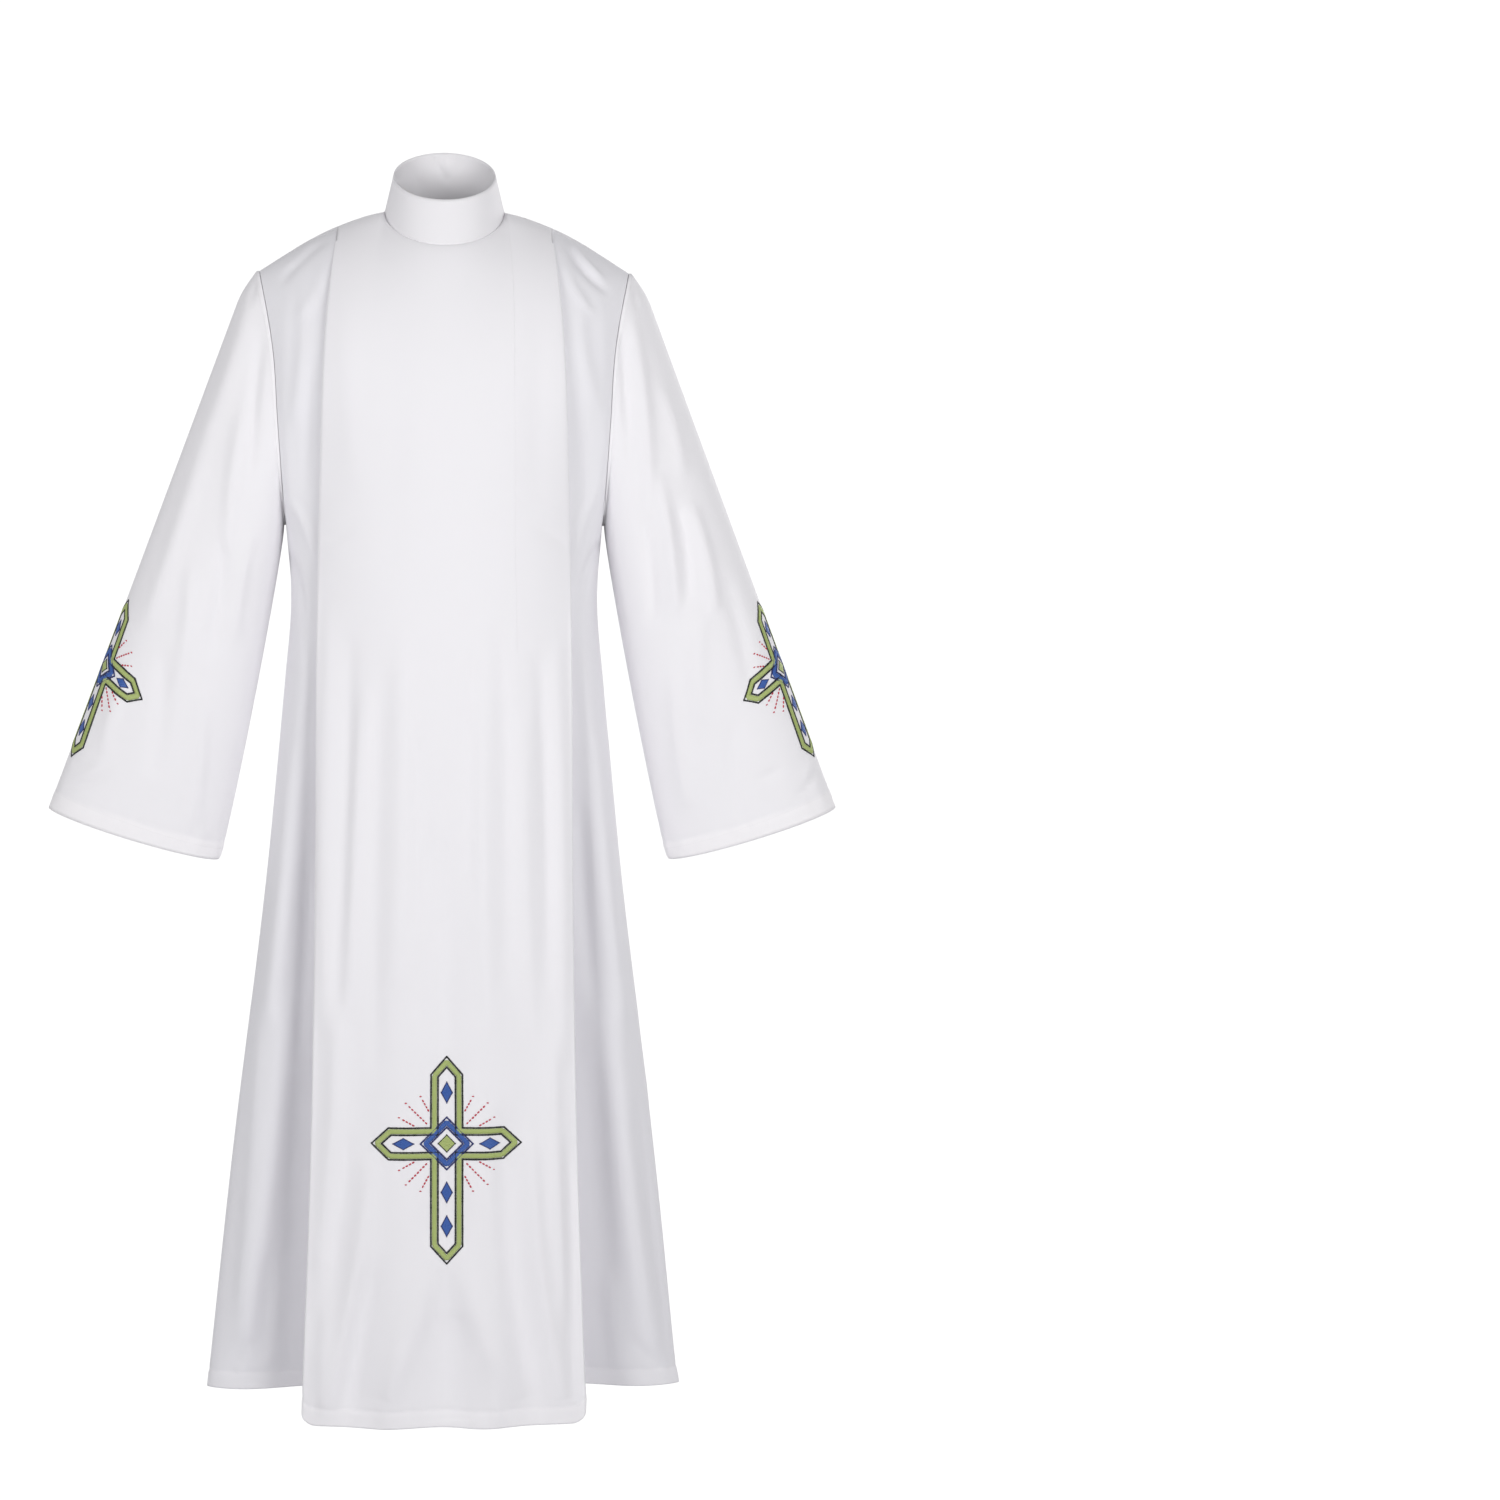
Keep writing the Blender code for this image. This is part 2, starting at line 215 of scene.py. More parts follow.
def curveThrough(places, share):
    # points on the smooth plan curve through the places, share running from 0 to 1 over its spans
    shaped = [np.stack(np.broadcast_arrays(x, y, share), -1)[..., :2] for x, y in places]
    stack = np.stack(shaped)
    spans = len(places) - 1
    i = np.clip((share * spans).astype(int), 0, spans - 1)

    def pick(k):
        return np.take_along_axis(stack, np.clip(k, 0, spans)[None, ..., None], 0)[0]

    t = (share * spans - i)[..., None]
    before, start, end, after = pick(i - 1), pick(i), pick(i + 1), pick(i + 2)
    return between(start, end, (end - before) / 2, (after - start) / 2, t)


def points(x, y, z):
    return np.stack(np.broadcast_arrays(x, y, z), -1)


# The body's form: the same sizes, tables and curves as the solids

body = {
    "seamGap": 0.3 * mm,
    "shoulderGap": 1.4 * mm,
    "underarmGap": 1.0 * mm,
    "neckX": 70 * mm,
    "neckFrontY": -85 * mm,
    "neckBackY": 55 * mm,
    "neckFrontZ": -41 * mm,
    "neckBackZ": 10 * mm,
    "neckFanX": 96 * mm,
    "shoulderX": 217.5 * mm,
    "shoulderZ": -70 * mm,
    "shoulderBow": 1.35,
    "shoulderFoldX": 126 * mm,
    "underarmZ": -369 * mm,
    "armholeDepth": 60 * mm,
    "armholeRound": 0.5,
    "sideGapPart": 0.3,  # of the fall: where the gap at the side seams has narrowed to a seam's
    "edgeSharpness": 10,
    "settlingDepth": 150 * mm,
    "hemZ": -1400 * mm,
    "neckColumns": 6,
    "shoulderColumns": 4,
    "upperRows": 10,
    "lowerRows": 18,
    "fineUpperRows": 88,
    "fineLowerRows": 190,
    "fineHemRows": 18,
    "smoothReach": 26 * mm,
    "smoothEdge": 0.03,
    "smoothTimes": 160,
    "smoothStrength": 0.8,
    "wall": 0.8 * mm,
    "hemPart": 0.6,  # of a row: the part above the hem that is cut most finely
}

Upper = namedtuple("Upper", "z halfWidth foldX centreFront centreBack recess")
upperLevels = (
    Upper(-0.024, 0.2300, 0.1260, 0.100, 0.085, 0.0072),
    Upper(-0.070, 0.2175, 0.1303, 0.112, 0.100, 0.0074),
    Upper(-0.160, 0.2005, 0.1370, 0.124, 0.118, 0.0078),
    Upper(-0.250, 0.1945, 0.1405, 0.130, 0.125, 0.0085),
    Upper(-0.367, 0.1870, 0.1435, 0.130, 0.125, 0.0105),
)

# Below the arms: the centre panel's fold, then the side front's middle, ridge and seam
Front = namedtuple("Front", "z centreY foldX foldY recess midX midY ridgeX ridgeY seamX seamY")
frontLevels = (
    Front(-0.367, -0.130, 0.1435, -0.083, 0.0105, 0.170, -0.048, 0.183, -0.024, 0.187, 0.000),
    Front(-0.460, -0.131, 0.1453, -0.087, 0.0160, 0.170, -0.053, 0.180, -0.023, 0.1805, 0.004),
    Front(-0.550, -0.132, 0.1465, -0.091, 0.0220, 0.174, -0.056, 0.1875, -0.021, 0.1855, 0.008),
    Front(-0.800, -0.130, 0.1480, -0.096, 0.0450, 0.191, -0.051, 0.212, -0.013, 0.202, 0.020),
    Front(-1.100, -0.127, 0.1535, -0.101, 0.0740, 0.215, -0.038, 0.2500, -0.006, 0.228, 0.033),
    Front(-1.400, -0.125, 0.1640, -0.105, 0.1020, 0.235, -0.022, 0.283, 0.002, 0.248, 0.046),
)

Back = namedtuple("Back", "z centreY midX midY ridgeX ridgeY")
backLevels = (
    Back(-0.367, 0.125, 0.110, 0.101, 0.174, 0.046),
    Back(-0.460, 0.123, 0.111, 0.101, 0.173, 0.049),
    Back(-0.550, 0.122, 0.113, 0.102, 0.178, 0.053),
    Back(-0.800, 0.129, 0.123, 0.111, 0.198, 0.064),
    Back(-1.100, 0.145, 0.139, 0.127, 0.231, 0.077),
    Back(-1.400, 0.165, 0.153, 0.146, 0.263, 0.092),
)


def shoulderLine(x):
    share = np.clip(abs(x) - body["neckX"], 0, None) / (body["shoulderX"] - body["neckX"])
    return body["shoulderZ"] * share ** body["shoulderBow"]


def dome(share):
    # how far cloth that falls from the shoulder has come forward, against the depth below it
    return np.sqrt(1 - (1 - np.clip(share / body["armholeRound"], 0, 1)) ** 2)


def edgeDepth(share):
    # half the armhole's depth at a share of its height
    full = body["armholeDepth"]
    low = full * np.sqrt(np.clip(1 - (2 * share - 1) ** 2, 0, None))
    return np.where(share < body["armholeRound"], full, np.maximum(low, body["underarmGap"] / 2))


def dropShare(row):
    return (1 - np.cos(np.pi * np.clip(row, 0, body["upperRows"]) / body["upperRows"])) / 2


def rowHeight(row, bottom):
    share = np.clip(row - body["upperRows"], 0, None) / body["lowerRows"]
    return mix(body["underarmZ"], bottom, share)


def chest(top, across, share, side):
    # points between shoulder and underarm: columns start at top, and across gives their x
    z = mix(top[..., 2], body["underarmZ"], share)
    here = atHeight(upperLevels, z)
    out = dome(share)
    x = across(here) + (top[..., 0] - across(atHeight(upperLevels, top[..., 2]))) * (1 - out)
    depth = here.centreFront if side < 0 else here.centreBack
    aside = abs(x) / here.halfWidth
    rest = body["armholeDepth"] * (1 - ease(2 * share - 1))
    crown = np.sqrt(np.clip(1 - aside**2 * (1 - (rest / depth) ** 2), 0, None))
    y = depth * crown + (edgeDepth(share) - rest) * aside ** body["edgeSharpness"]
    return points(x, mix(top[..., 1], side * y, out), z)


def movedIn(at, share, distance):
    # points of a front moved into the garment, square to the cloth as seen from the side
    nearby = 0.02
    along = at(np.clip(share + nearby, 0, 1)) - at(np.clip(share - nearby, 0, 1))
    outY, outZ = along[..., 2], -along[..., 1]
    size = np.hypot(outY, outZ)
    return at(share) - points(0 * size, outY / size, outZ / size) * distance[..., None]


def settled(point, upperEnd, lowerStart):
    # cloth below the arms, eased from where the cloth above the underarm ends to its own curve
    fade = 1 - ease((body["underarmZ"] - point[..., 2]) / body["settlingDepth"])
    return point + (upperEnd - lowerStart) * fade[..., None]


def sideGap(z):
    fall = (body["underarmZ"] - z) / (body["underarmZ"] - body["hemZ"])
    return mix(body["underarmGap"], body["seamGap"], ease(fall / body["sideGapPart"]))


# Centre front: a panel from the neck to the hem, each long edge folded under

panel = {
    "hemZ": -1426 * mm,
    "fluting": 4 * mm,
    "flutes": 3,
    "roundness": 2.2,
    "foldColumns": 4,
    "returnColumns": 3,
    "returnWidth": 32 * mm,
    "layerStep": 6.4 * mm,
    "returnGap": 0.4 * mm,
    "returnBend": 0.7,
    "fineStep": 3,
    "pressedTop": 0.06,  # the pleat is pressed this flat at the shoulder seam
    "pressedDrop": 0.3,
    "cornerRadius": 17 * mm,
    "dip": 2 * mm,
    "dipHalf": 34 * mm,
    "dipsAt": (-78 * mm, 45 * mm),
    "edgeFade": 40 * mm,
    "cornerRise": 0.8,
    # painted shade: the panel's share of the whiter tint, and its hem's
    "paintedLightShare": 0.55,
    "hemPaintedLightShare": 0.75,
    "hemPhase": 0.4,
    "edgeColumns": 1.5,  # where the creases fade, past the fold
    "seamColumns": (6.1, 10),  # between which the shoulder seam is stitched
    "closingColumns": (5.9, 5.25, 5.1, 5.2),
    "closingRows": (0.6, 5.0, 10.0, 12.5),
    "crossZ": -1089 * mm,
    "crossAside": 3 * mm,
    "crossScale": 1.0,
}


def pressed(drop):
    return mix(panel["pressedTop"], 1, ease(drop / panel["pressedDrop"]))


def frontTop(x, forward):
    # where a front's columns start: on the neckline, or on the shoulder seam where forward is nan
    onShoulder = np.isnan(forward)
    y = np.where(onShoulder, -body["shoulderGap"] / 2, body["neckFrontY"] * forward)
    z = np.where(onShoulder, shoulderLine(x), body["neckFrontZ"] * forward)
    return points(x, y, z)


def panelShare(column):
    # x at the chest as a share of the fold's, x at the top, and how far forward on the neckline
    half = body["neckColumns"]
    fan = body["neckFanX"] / frontLevels[0].foldX
    beyond = np.clip((abs(column) - half) / body["shoulderColumns"], 0, 1)
    hand = np.sign(column)
    onNeck = abs(column) < half
    angle = math.pi / 2 * column / half
    share = np.where(onNeck, fan * column / half, hand * mix(fan, 1, beyond))
    shoulderAt = mix(body["neckX"], body["shoulderFoldX"], beyond)
    topX = np.where(onNeck, body["neckX"] * np.sin(angle), hand * shoulderAt)
    return share, topX, np.where(onNeck, np.cos(angle), np.nan)


def panelUpper(column, aside):
    share, topX, forward = panelShare(column)
    top = frontTop(topX + aside, forward)
    return lambda drop: chest(top, lambda here: share * here.foldX + aside, drop, -1)


def panelLower(share, z):
    here = atHeight(frontLevels, z)
    fall = ease((body["underarmZ"] - z) / (body["underarmZ"] - body["hemZ"]))
    wave = panel["fluting"] * fall * np.cos(share * math.pi * panel["flutes"]) * (1 - share**2)
    depth = mix(here.centreY, here.foldY, abs(share) ** panel["roundness"])
    return points(share * here.foldX, depth + wave, z)


def underFold(column, deep, flat=1.0):
    # how far columns past the fold stand out sideways from it, and how deep they lie behind it
    beyond = abs(column) - body["neckColumns"] - body["shoulderColumns"]
    turn = math.pi * np.clip(beyond / panel["foldColumns"], 0, 1)
    inward = np.clip(beyond - panel["foldColumns"], 0, None) / panel["returnColumns"]
    radius = panel["layerStep"] / 2 * flat
    aside = radius * np.sin(turn) - panel["returnWidth"] * inward
    depth = radius * (1 - np.cos(turn)) + (deep - 2 * radius) * ease(inward) ** panel["returnBend"]
    return aside * np.sign(column), depth


def panelPoint(column, row):
    share = panelShare(column)[0]
    drop = dropShare(row)
    z = rowHeight(row, panel["hemZ"])
    upperZ = mix(shoulderLine(body["shoulderFoldX"]), body["underarmZ"], drop)
    isUpper = row <= body["upperRows"]
    upper, lower = atHeight(upperLevels, upperZ), atHeight(frontLevels, z)
    recess = np.where(isUpper, upper.recess, lower.recess)
    flat = np.where(isUpper, pressed(drop), 1.0)
    aside, depth = underFold(column, (recess - panel["returnGap"]) * flat, flat)
    above = movedIn(panelUpper(column, aside), drop, depth)
    asideAtArm, depthAtArm = underFold(column, frontLevels[0].recess - panel["returnGap"])
    end = movedIn(panelUpper(column, asideAtArm), 0 * drop + 1, depthAtArm)
    start = panelLower(share, 0 * z + body["underarmZ"]) + points(asideAtArm, depthAtArm, 0 * z)
    below = settled(panelLower(share, z) + points(aside, depth, 0 * z), end, start)
    return np.where(isUpper[..., None], above, below)


# Side fronts: from behind the panel's fold to the armhole and the side seam

sideFront = {
    "hiddenColumns": 3,
    "columns": 10,
    "hiddenPart": 0.25,
    "recessCloseTop": 5,
    "recessCloseLow": 1.6,
    "fineStep": 3,
    # painted shade: the side fronts get the greyest tint of all, so they read darker than the panel
    "paintedLightShare": 0.1,
    "hemPaintedLightShare": 0.35,
    "hemPhase": {"left": 0.7, "right": 1.9},
    "edgeColumns": 1.2,
}


def sideCurve(z):
    here = atHeight(frontLevels, z)
    behind = here.foldY + here.recess
    return (
        (here.foldX - panel["returnWidth"], behind),
        (here.foldX, behind),
        (here.midX, here.midY),
        (here.ridgeX, here.ridgeY),
        (here.seamX, here.seamY - sideGap(z) / 2),
    )


def sidePoint(column, row):
    hidden = np.clip(column / sideFront["hiddenColumns"], 0, 1)
    shown = np.clip(column - sideFront["hiddenColumns"], 0, None) / sideFront["columns"]
    along = mix(sideFront["hiddenPart"] * hidden, 1, shown)
    armZ = 0 * row + body["underarmZ"]
    under = curveThrough(sideCurve(armZ), along)
    arm = frontLevels[0]
    outward = np.where(shown > 0, (under[..., 0] - arm.foldX) / (arm.seamX - arm.foldX), 0)
    hiddenX = panel["returnWidth"] * (1 - hidden)
    topX = mix(body["shoulderFoldX"] - hiddenX, body["shoulderX"], outward)
    top = frontTop(topX, 0 * row + np.nan)

    def face(drop):
        return chest(top, lambda here: mix(here.foldX - hiddenX, here.halfWidth, outward), drop, -1)

    drop = dropShare(row)
    recess = atHeight(upperLevels, face(drop)[..., 2]).recess * pressed(drop)
    closing = mix(sideFront["recessCloseTop"], sideFront["recessCloseLow"], dome(drop))
    above = movedIn(face, drop, recess * (1 - ease(shown * closing)))
    z = rowHeight(row, body["hemZ"])
    plan = curveThrough(sideCurve(z), along)
    below = settled(
        points(plan[..., 0], plan[..., 1], z), above, points(under[..., 0], under[..., 1], armZ)
    )
    return np.where((row <= body["upperRows"])[..., None], above, below)


# Back: one panel from side seam to side seam

backPanel = {
    "columns": 8,
    "fluting": 9 * mm,
    "flutePitch": 124 * mm,
    "fluteFade": 6,
    "fineStep": 4,
    "samples": 400,
    "innerSamples": 320,
    # painted shade: the back's share of the whiter tint, and its hem's
    "paintedLightShare": 0.4,
    "hemPaintedLightShare": 0.6,
    "hemPhase": 1.2,
    "edgeColumns": 1.2,
}


def backCurve(z):
    here, front = atHeight(backLevels, z), atHeight(frontLevels, z)
    return (
        (-here.midX, here.midY),
        (0 * z, here.centreY),
        (here.midX, here.midY),
        (here.ridgeX, here.ridgeY),
        (front.seamX, front.seamY + sideGap(z) / 2),
    )


def backAlong(column):
    # where columns lie along the plan curve: those of the neckline fan out evenly at the chest
    shares = np.linspace(sideFront["hiddenPart"], 1, backPanel["samples"])
    curveX = curveThrough(backCurve(0 * shares + body["underarmZ"]), shares)[:, 0]
    half, inner = body["neckColumns"], backPanel["innerSamples"]
    fanX = body["neckFanX"] * np.clip(column / half, 0, 1)
    fanned = np.interp(fanX, curveX[:inner], shares[:inner])
    beyond = np.clip(column - half, 0, None) / backPanel["columns"]
    return np.where(column < half, fanned, mix(fanned, 1, beyond))


def backPoint(column, row):
    half = body["neckColumns"]
    along = backAlong(abs(column))
    armZ = 0 * row + body["underarmZ"]
    under = curveThrough(backCurve(armZ), along)
    share = under[..., 0] / frontLevels[0].seamX
    angle = math.pi / 2 * np.clip(abs(column) / half, 0, 1)
    beyond = np.clip(abs(column) - half, 0, None) / backPanel["columns"]
    shoulderAt = mix(body["neckX"], body["shoulderX"], beyond)
    onNeck = abs(column) < half
    top = points(
        np.where(onNeck, body["neckX"] * np.sin(angle), shoulderAt),
        np.where(onNeck, body["neckBackY"] * np.cos(angle), body["shoulderGap"] / 2),
        np.where(onNeck, body["neckBackZ"] * np.cos(angle), shoulderLine(shoulderAt)),
    )
    above = chest(top, lambda here: share * here.halfWidth, dropShare(row), 1)
    z = rowHeight(row, body["hemZ"])
    fall = ease((body["underarmZ"] - z) / (body["underarmZ"] - body["hemZ"]))
    plan = curveThrough(backCurve(z), along)
    wave = np.cos(math.tau * plan[..., 0] / backPanel["flutePitch"])
    y = plan[..., 1] + backPanel["fluting"] * fall * wave * (1 - share ** backPanel["fluteFade"])
    below = settled(points(plan[..., 0], y, z), above, points(under[..., 0], under[..., 1], armZ))
    point = np.where((row <= body["upperRows"])[..., None], above, below)
    return point * points(np.where(column < 0, -1, 1), 1, 1)


# Sleeves: tubes from the armhole to an open cuff

sleeve = {
    "cuffOuter": (0.468, 0.010, -0.705),
    "cuffInner": (0.268, 0.010, -0.766),
    "cuffHalfDepth": 48 * mm,
    "lip": 3 * mm,
    "capSwell": 9 * mm,
    "capPart": 0.06,
    "tubeSwell": 7 * mm,
    "innerSwell": 6 * mm,
    "innerBow": 0.4,
    "cuffDroop": 5 * mm,
    "rows": 18,
    "fineStep": 5,
    "fineRows": 8,
    # painted shade: the sleeves' share of the whiter tint, full in the cuff
    "paintedLightShare": 0.6,
    "hemPaintedLightShare": 1.0,
    "hemPhase": {"left": 0.3, "right": 2.1},
    "creaseEdge": 3,  # how fast the creases of the front and back give way to each other
    "crossZ": -533 * mm,
    "crossAside": 15 * mm,
    "crossScale": 0.8,
}


def sleevePoint(step, row):
    side = np.where(step <= body["upperRows"], -1, 1)
    down = np.where(step <= body["upperRows"], step, 2 * body["upperRows"] - step)
    drop = dropShare(down)
    z = mix(body["shoulderZ"], body["underarmZ"], drop)
    angle = math.pi * down / body["upperRows"]
    lip = body["seamGap"] + sleeve["lip"] * np.clip(row, 0, 1)
    depth = side * edgeDepth(drop) * dome(drop)
    start = points(atHeight(upperLevels, z).halfWidth + lip, depth, z)
    share = np.clip(row - 1, 0, None) / (sleeve["rows"] - 1)
    outer, inner = np.array(sleeve["cuffOuter"]), np.array(sleeve["cuffInner"])
    end = (outer + inner) / 2 + np.cos(angle)[..., None] * (outer - inner) / 2
    end = end + points(0 * z, side * sleeve["cuffHalfDepth"] * np.sin(angle), 0 * z)
    capShare = np.clip(share / sleeve["capPart"], 0, 1)
    cap = sleeve["capSwell"] * np.sin(math.pi / 2 * capShare) * (1 - share)
    swell = sleeve["tubeSwell"] * np.sin(math.pi * share) * side * np.sin(angle)
    inward = sleeve["innerSwell"] * np.sin(math.pi * share) ** sleeve["innerBow"]
    aside = cap * np.clip(np.cos(angle), 0, None) - inward * np.clip(-np.cos(angle), 0, None)
    droop = sleeve["cuffDroop"] * np.sin(angle) * share
    return mix(start, end, share[..., None]) + points(aside, swell, -droop)


# Collar: a standing band on the neckline

collar = {
    "rimX": 60 * mm,
    "lap": 0.9 * mm,
    "behindFrom": 5 * mm,
    "rimFront": (0, -0.075, 0.012),
    "rimBack": (0, 0.050, 0.073),
    "steps": 24,
    "rows": 4,
    "fineStep": 5,
    "fineRows": 4,
    "wall": 1.2 * mm,
    # painted shade: the collar's share of the whiter tint
    "paintedLightShare": 0.65,
    "creaseEdge": 4,
}


def collarPoint(step, row):
    # row 0 is the upper rim
    angle = math.tau * step / collar["steps"]
    across, forward = np.sin(angle), np.cos(angle)
    baseY = np.where(forward > 0, body["neckFrontY"], -body["neckBackY"]) * forward
    baseZ = np.where(forward > 0, body["neckFrontZ"], -body["neckBackZ"]) * forward
    # its lower edge laps a little over the neckline, so that no light shows through the seam
    lap = collar["lap"]
    base = points((body["neckX"] + lap) * across, baseY - lap * forward, baseZ - lap)
    front, back = np.array(collar["rimFront"]), np.array(collar["rimBack"])
    middle, reach = (front + back) / 2, (front - back) / 2
    rim = middle + reach * forward[..., None] + points(collar["rimX"] * across, 0, 0)
    share = 1 - row / collar["rows"]
    return mix(base, rim, share[..., None])


# Grids of points and the shells made from them

lastRow = body["upperRows"] + body["lowerRows"]
hemRow = lastRow - body["hemPart"]
bodyRows = np.concatenate(
    (
        np.linspace(0, body["upperRows"], body["fineUpperRows"], endpoint=False),
        np.linspace(body["upperRows"], hemRow, body["fineLowerRows"], endpoint=False),
        np.linspace(hemRow, lastRow, body["fineHemRows"]),
    )
)


def grid(place, columns, rows):
    column, row = np.meshgrid(columns, rows)
    return place(column, row)


def stepsTo(first, last, fineStep):
    return np.linspace(first, last, round((last - first) * fineStep) + 1)


def lengths(surface, axis):
    # running distance along the rows or columns of a grid
    step = np.linalg.norm(np.diff(surface, axis=axis), axis=-1)
    start = np.zeros_like(np.take(step, [0], axis=axis))
    return np.cumsum(np.concatenate((start, step), axis=axis), axis=axis)


def normals(surface, turned):
    # outward directions of a grid
    down, across = np.gradient(surface, axis=0), np.gradient(surface, axis=1)
    out = np.cross(down, across) * (-1 if turned else 1)
    return out / np.maximum(np.linalg.norm(out, axis=-1, keepdims=True), 1e-12)


# A crease as seen from the front or the back, in millimetres: a straight line or a bowed one that
# fades to each side over its width, a ridge where its height is positive and otherwise a trough
Crease = namedtuple("Crease", "x0 z0 x1 z1 bow width height")

creaseLook = {
    "depth": 2.7,  # all creases deeper or flatter together
    "endShare": 0.2,  # of its height that a crease keeps at its ends
    "falloff": 2,
}


def creased(surface, out, creases, shown=1.0):
    x, z = surface[..., 0] / mm, surface[..., 2] / mm
    lift = np.zeros_like(x)
    for crease in map(Crease._make, creases):
        runX, runZ = crease.x1 - crease.x0, crease.z1 - crease.z0
        length = math.hypot(runX, runZ)
        along = ((x - crease.x0) * runX + (z - crease.z0) * runZ) / length**2
        inside = np.clip(along, 0, 1)
        aside = ((x - crease.x0) * runZ - (z - crease.z0) * runX) / length
        aside = aside - crease.bow * np.sin(math.pi * inside)
        reach = np.hypot(aside, (along - inside) * length) / crease.width
        ends = mix(creaseLook["endShare"], 1, np.sqrt(np.sin(math.pi * inside)))
        lift += crease.height * ends * np.exp(-creaseLook["falloff"] * reach**2)
    return surface + out * (lift * shown * creaseLook["depth"] * mm)[..., None]


def smoothedAtArm(surface):
    # evens out the bend at the underarm's height, without moving the cut edges
    result = surface.copy()
    aside = np.linspace(0, 1, surface.shape[1])
    edge = ease(np.minimum(aside, 1 - aside) / body["smoothEdge"])
    near = np.exp(-(((surface[..., 2] - body["underarmZ"]) / body["smoothReach"]) ** 2)) * edge
    for _ in range(body["smoothTimes"]):
        average = (result[:-2] + result[2:]) / 2
        result[1:-1] += (average - result[1:-1]) * near[1:-1, :, None] * body["smoothStrength"]
    return result


# A hem or cuff is turned up twice and stitched: a slightly raised band, a groove and small puckers
hem = {
    "band": 20 * mm,
    "cuffBand": 22 * mm,
    "raised": 0.5 * mm,
    "groove": 0.55 * mm,
    "grooveHalf": 3 * mm,
    "pucker": 0.8 * mm,
    "puckerPitch": 23 * mm,
    "puckerReach": 12 * mm,
    "wander": 0.8,
    "wanderRate": 0.37,
    "swell": 0.4,
    "swellRate": 0.21,
}


def fromHem(surface):
    down = lengths(surface, 0)
    return down[-1:] - down


def inBand(fromEdge, band):
    # 1 on the turned-up cloth, and 0 above it
    return ease((band - fromEdge) / hem["grooveHalf"] + 0.5)


def hemmed(surface, out, band, phase):
    fromEdge, across = fromHem(surface), lengths(surface, 1)
    lift = hem["raised"] * inBand(fromEdge, band)
    lift = lift - hem["groove"] * np.exp(-(((fromEdge - band) / hem["grooveHalf"]) ** 2))
    turn = math.tau * across / hem["puckerPitch"] + phase
    uneven = np.sin(turn + hem["wander"] * np.sin(hem["wanderRate"] * turn))
    uneven = uneven * (1 - hem["swell"] + hem["swell"] * np.sin(hem["swellRate"] * turn + phase))
    near = np.exp(-(((fromEdge - band) / hem["puckerReach"]) ** 2))
    return surface + out * (lift + hem["pucker"] * uneven * near)[..., None]


def paintedLightShareOn(surface, sizes, band):
    # painted shade: a piece's share of the whiter tint, higher in the doubled hem
    return mix(sizes["paintedLightShare"], sizes["hemPaintedLightShare"], inBand(fromHem(surface), band))


def cellCorners(values):
    # a grid's values at the four corners of each of its cells
    cells = (values[:-1, :-1], values[1:, :-1], values[1:, 1:], values[:-1, 1:])
    return np.stack(cells, 2).reshape(-1, 4, *values.shape[2:])


def added(name, data):
    made = bpy.data.objects.new(name, data)
    scene.collection.objects.link(made)
    return made


def addLayer(mesh, name, kind, values):
    layer = mesh.attributes.new(name, kind, "POINT")
    field = "vector" if kind == "FLOAT_VECTOR" else "value"
    layer.data.foreach_set(field, values.reshape(-1).astype(np.float32))


def shell(name, surface, paintedLightShare, closed=False, turned=False, wall=body["wall"]):
    # a thin cloth shell whose outer face is the grid, with a UV map in metres along the cloth
    rows, columns = surface.shape[:2]
    wide = columns - 1 if closed else columns
    corners = cellCorners(np.arange(rows)[:, None] * wide + (np.arange(columns) % wide)[None, :])
    across, down = lengths(surface, 1), lengths(surface, 0)
    uvCorners = cellCorners(np.stack((across - across[:, columns // 2][:, None], down), -1))
    if turned:
        corners, uvCorners = corners[:, ::-1], uvCorners[:, ::-1]
    mesh = bpy.data.meshes.new(name)
    mesh.from_pydata(surface[:, :wide].reshape(-1, 3).tolist(), [], corners.tolist())
    mesh.polygons.foreach_set("use_smooth", np.ones(len(mesh.polygons), bool))
    # painted shade: the share of the whiter tint at each point, read by the cloth's material
    addLayer(mesh, "paintedLightShare", "FLOAT", np.broadcast_to(paintedLightShare, (rows, columns))[:, :wide])
    layer = mesh.uv_layers.new(name="cloth")
    layer.data.foreach_set("uv", uvCorners.reshape(-1).astype(np.float32))
    mesh.materials.append(robePoplin)
    piece = added(name, mesh)
    solid = piece.modifiers.new("wall", "SOLIDIFY")
    solid.thickness = wall
    solid.offset = -1
    return piece


def mirrored(surface):
    return surface * np.array((-1, 1, 1))


# Sewing. Every stitch is a short thread between two places, given as a grid's column and row

stitchLook = {
    "around": 6,  # faces round a stitch and along it
    "lengthwise": 4,
    "unevenness": 0.12,
    "lift": 0.25,  # how far a stitch's middle lies above the cloth, as a share of its height
    "seed": 5,
    "pathSamples": 400,
}


def onGrid(values, columns, rows):
    # values of a grid at fractional columns and rows
    columns, rows = np.broadcast_arrays(columns, rows)
    # just inside the last column and row, so that there is always a next one
    c = np.clip(columns, 0, values.shape[1] - 1.001)
    r = np.clip(rows, 0, values.shape[0] - 1.001)
    c0, r0 = c.astype(int), r.astype(int)
    shareC, shareR = (c - c0)[..., None], (r - r0)[..., None]
    upper = mix(values[r0, c0], values[r0, c0 + 1], shareC)
    lower = mix(values[r0 + 1, c0], values[r0 + 1, c0 + 1], shareC)
    return mix(upper, lower, shareR)


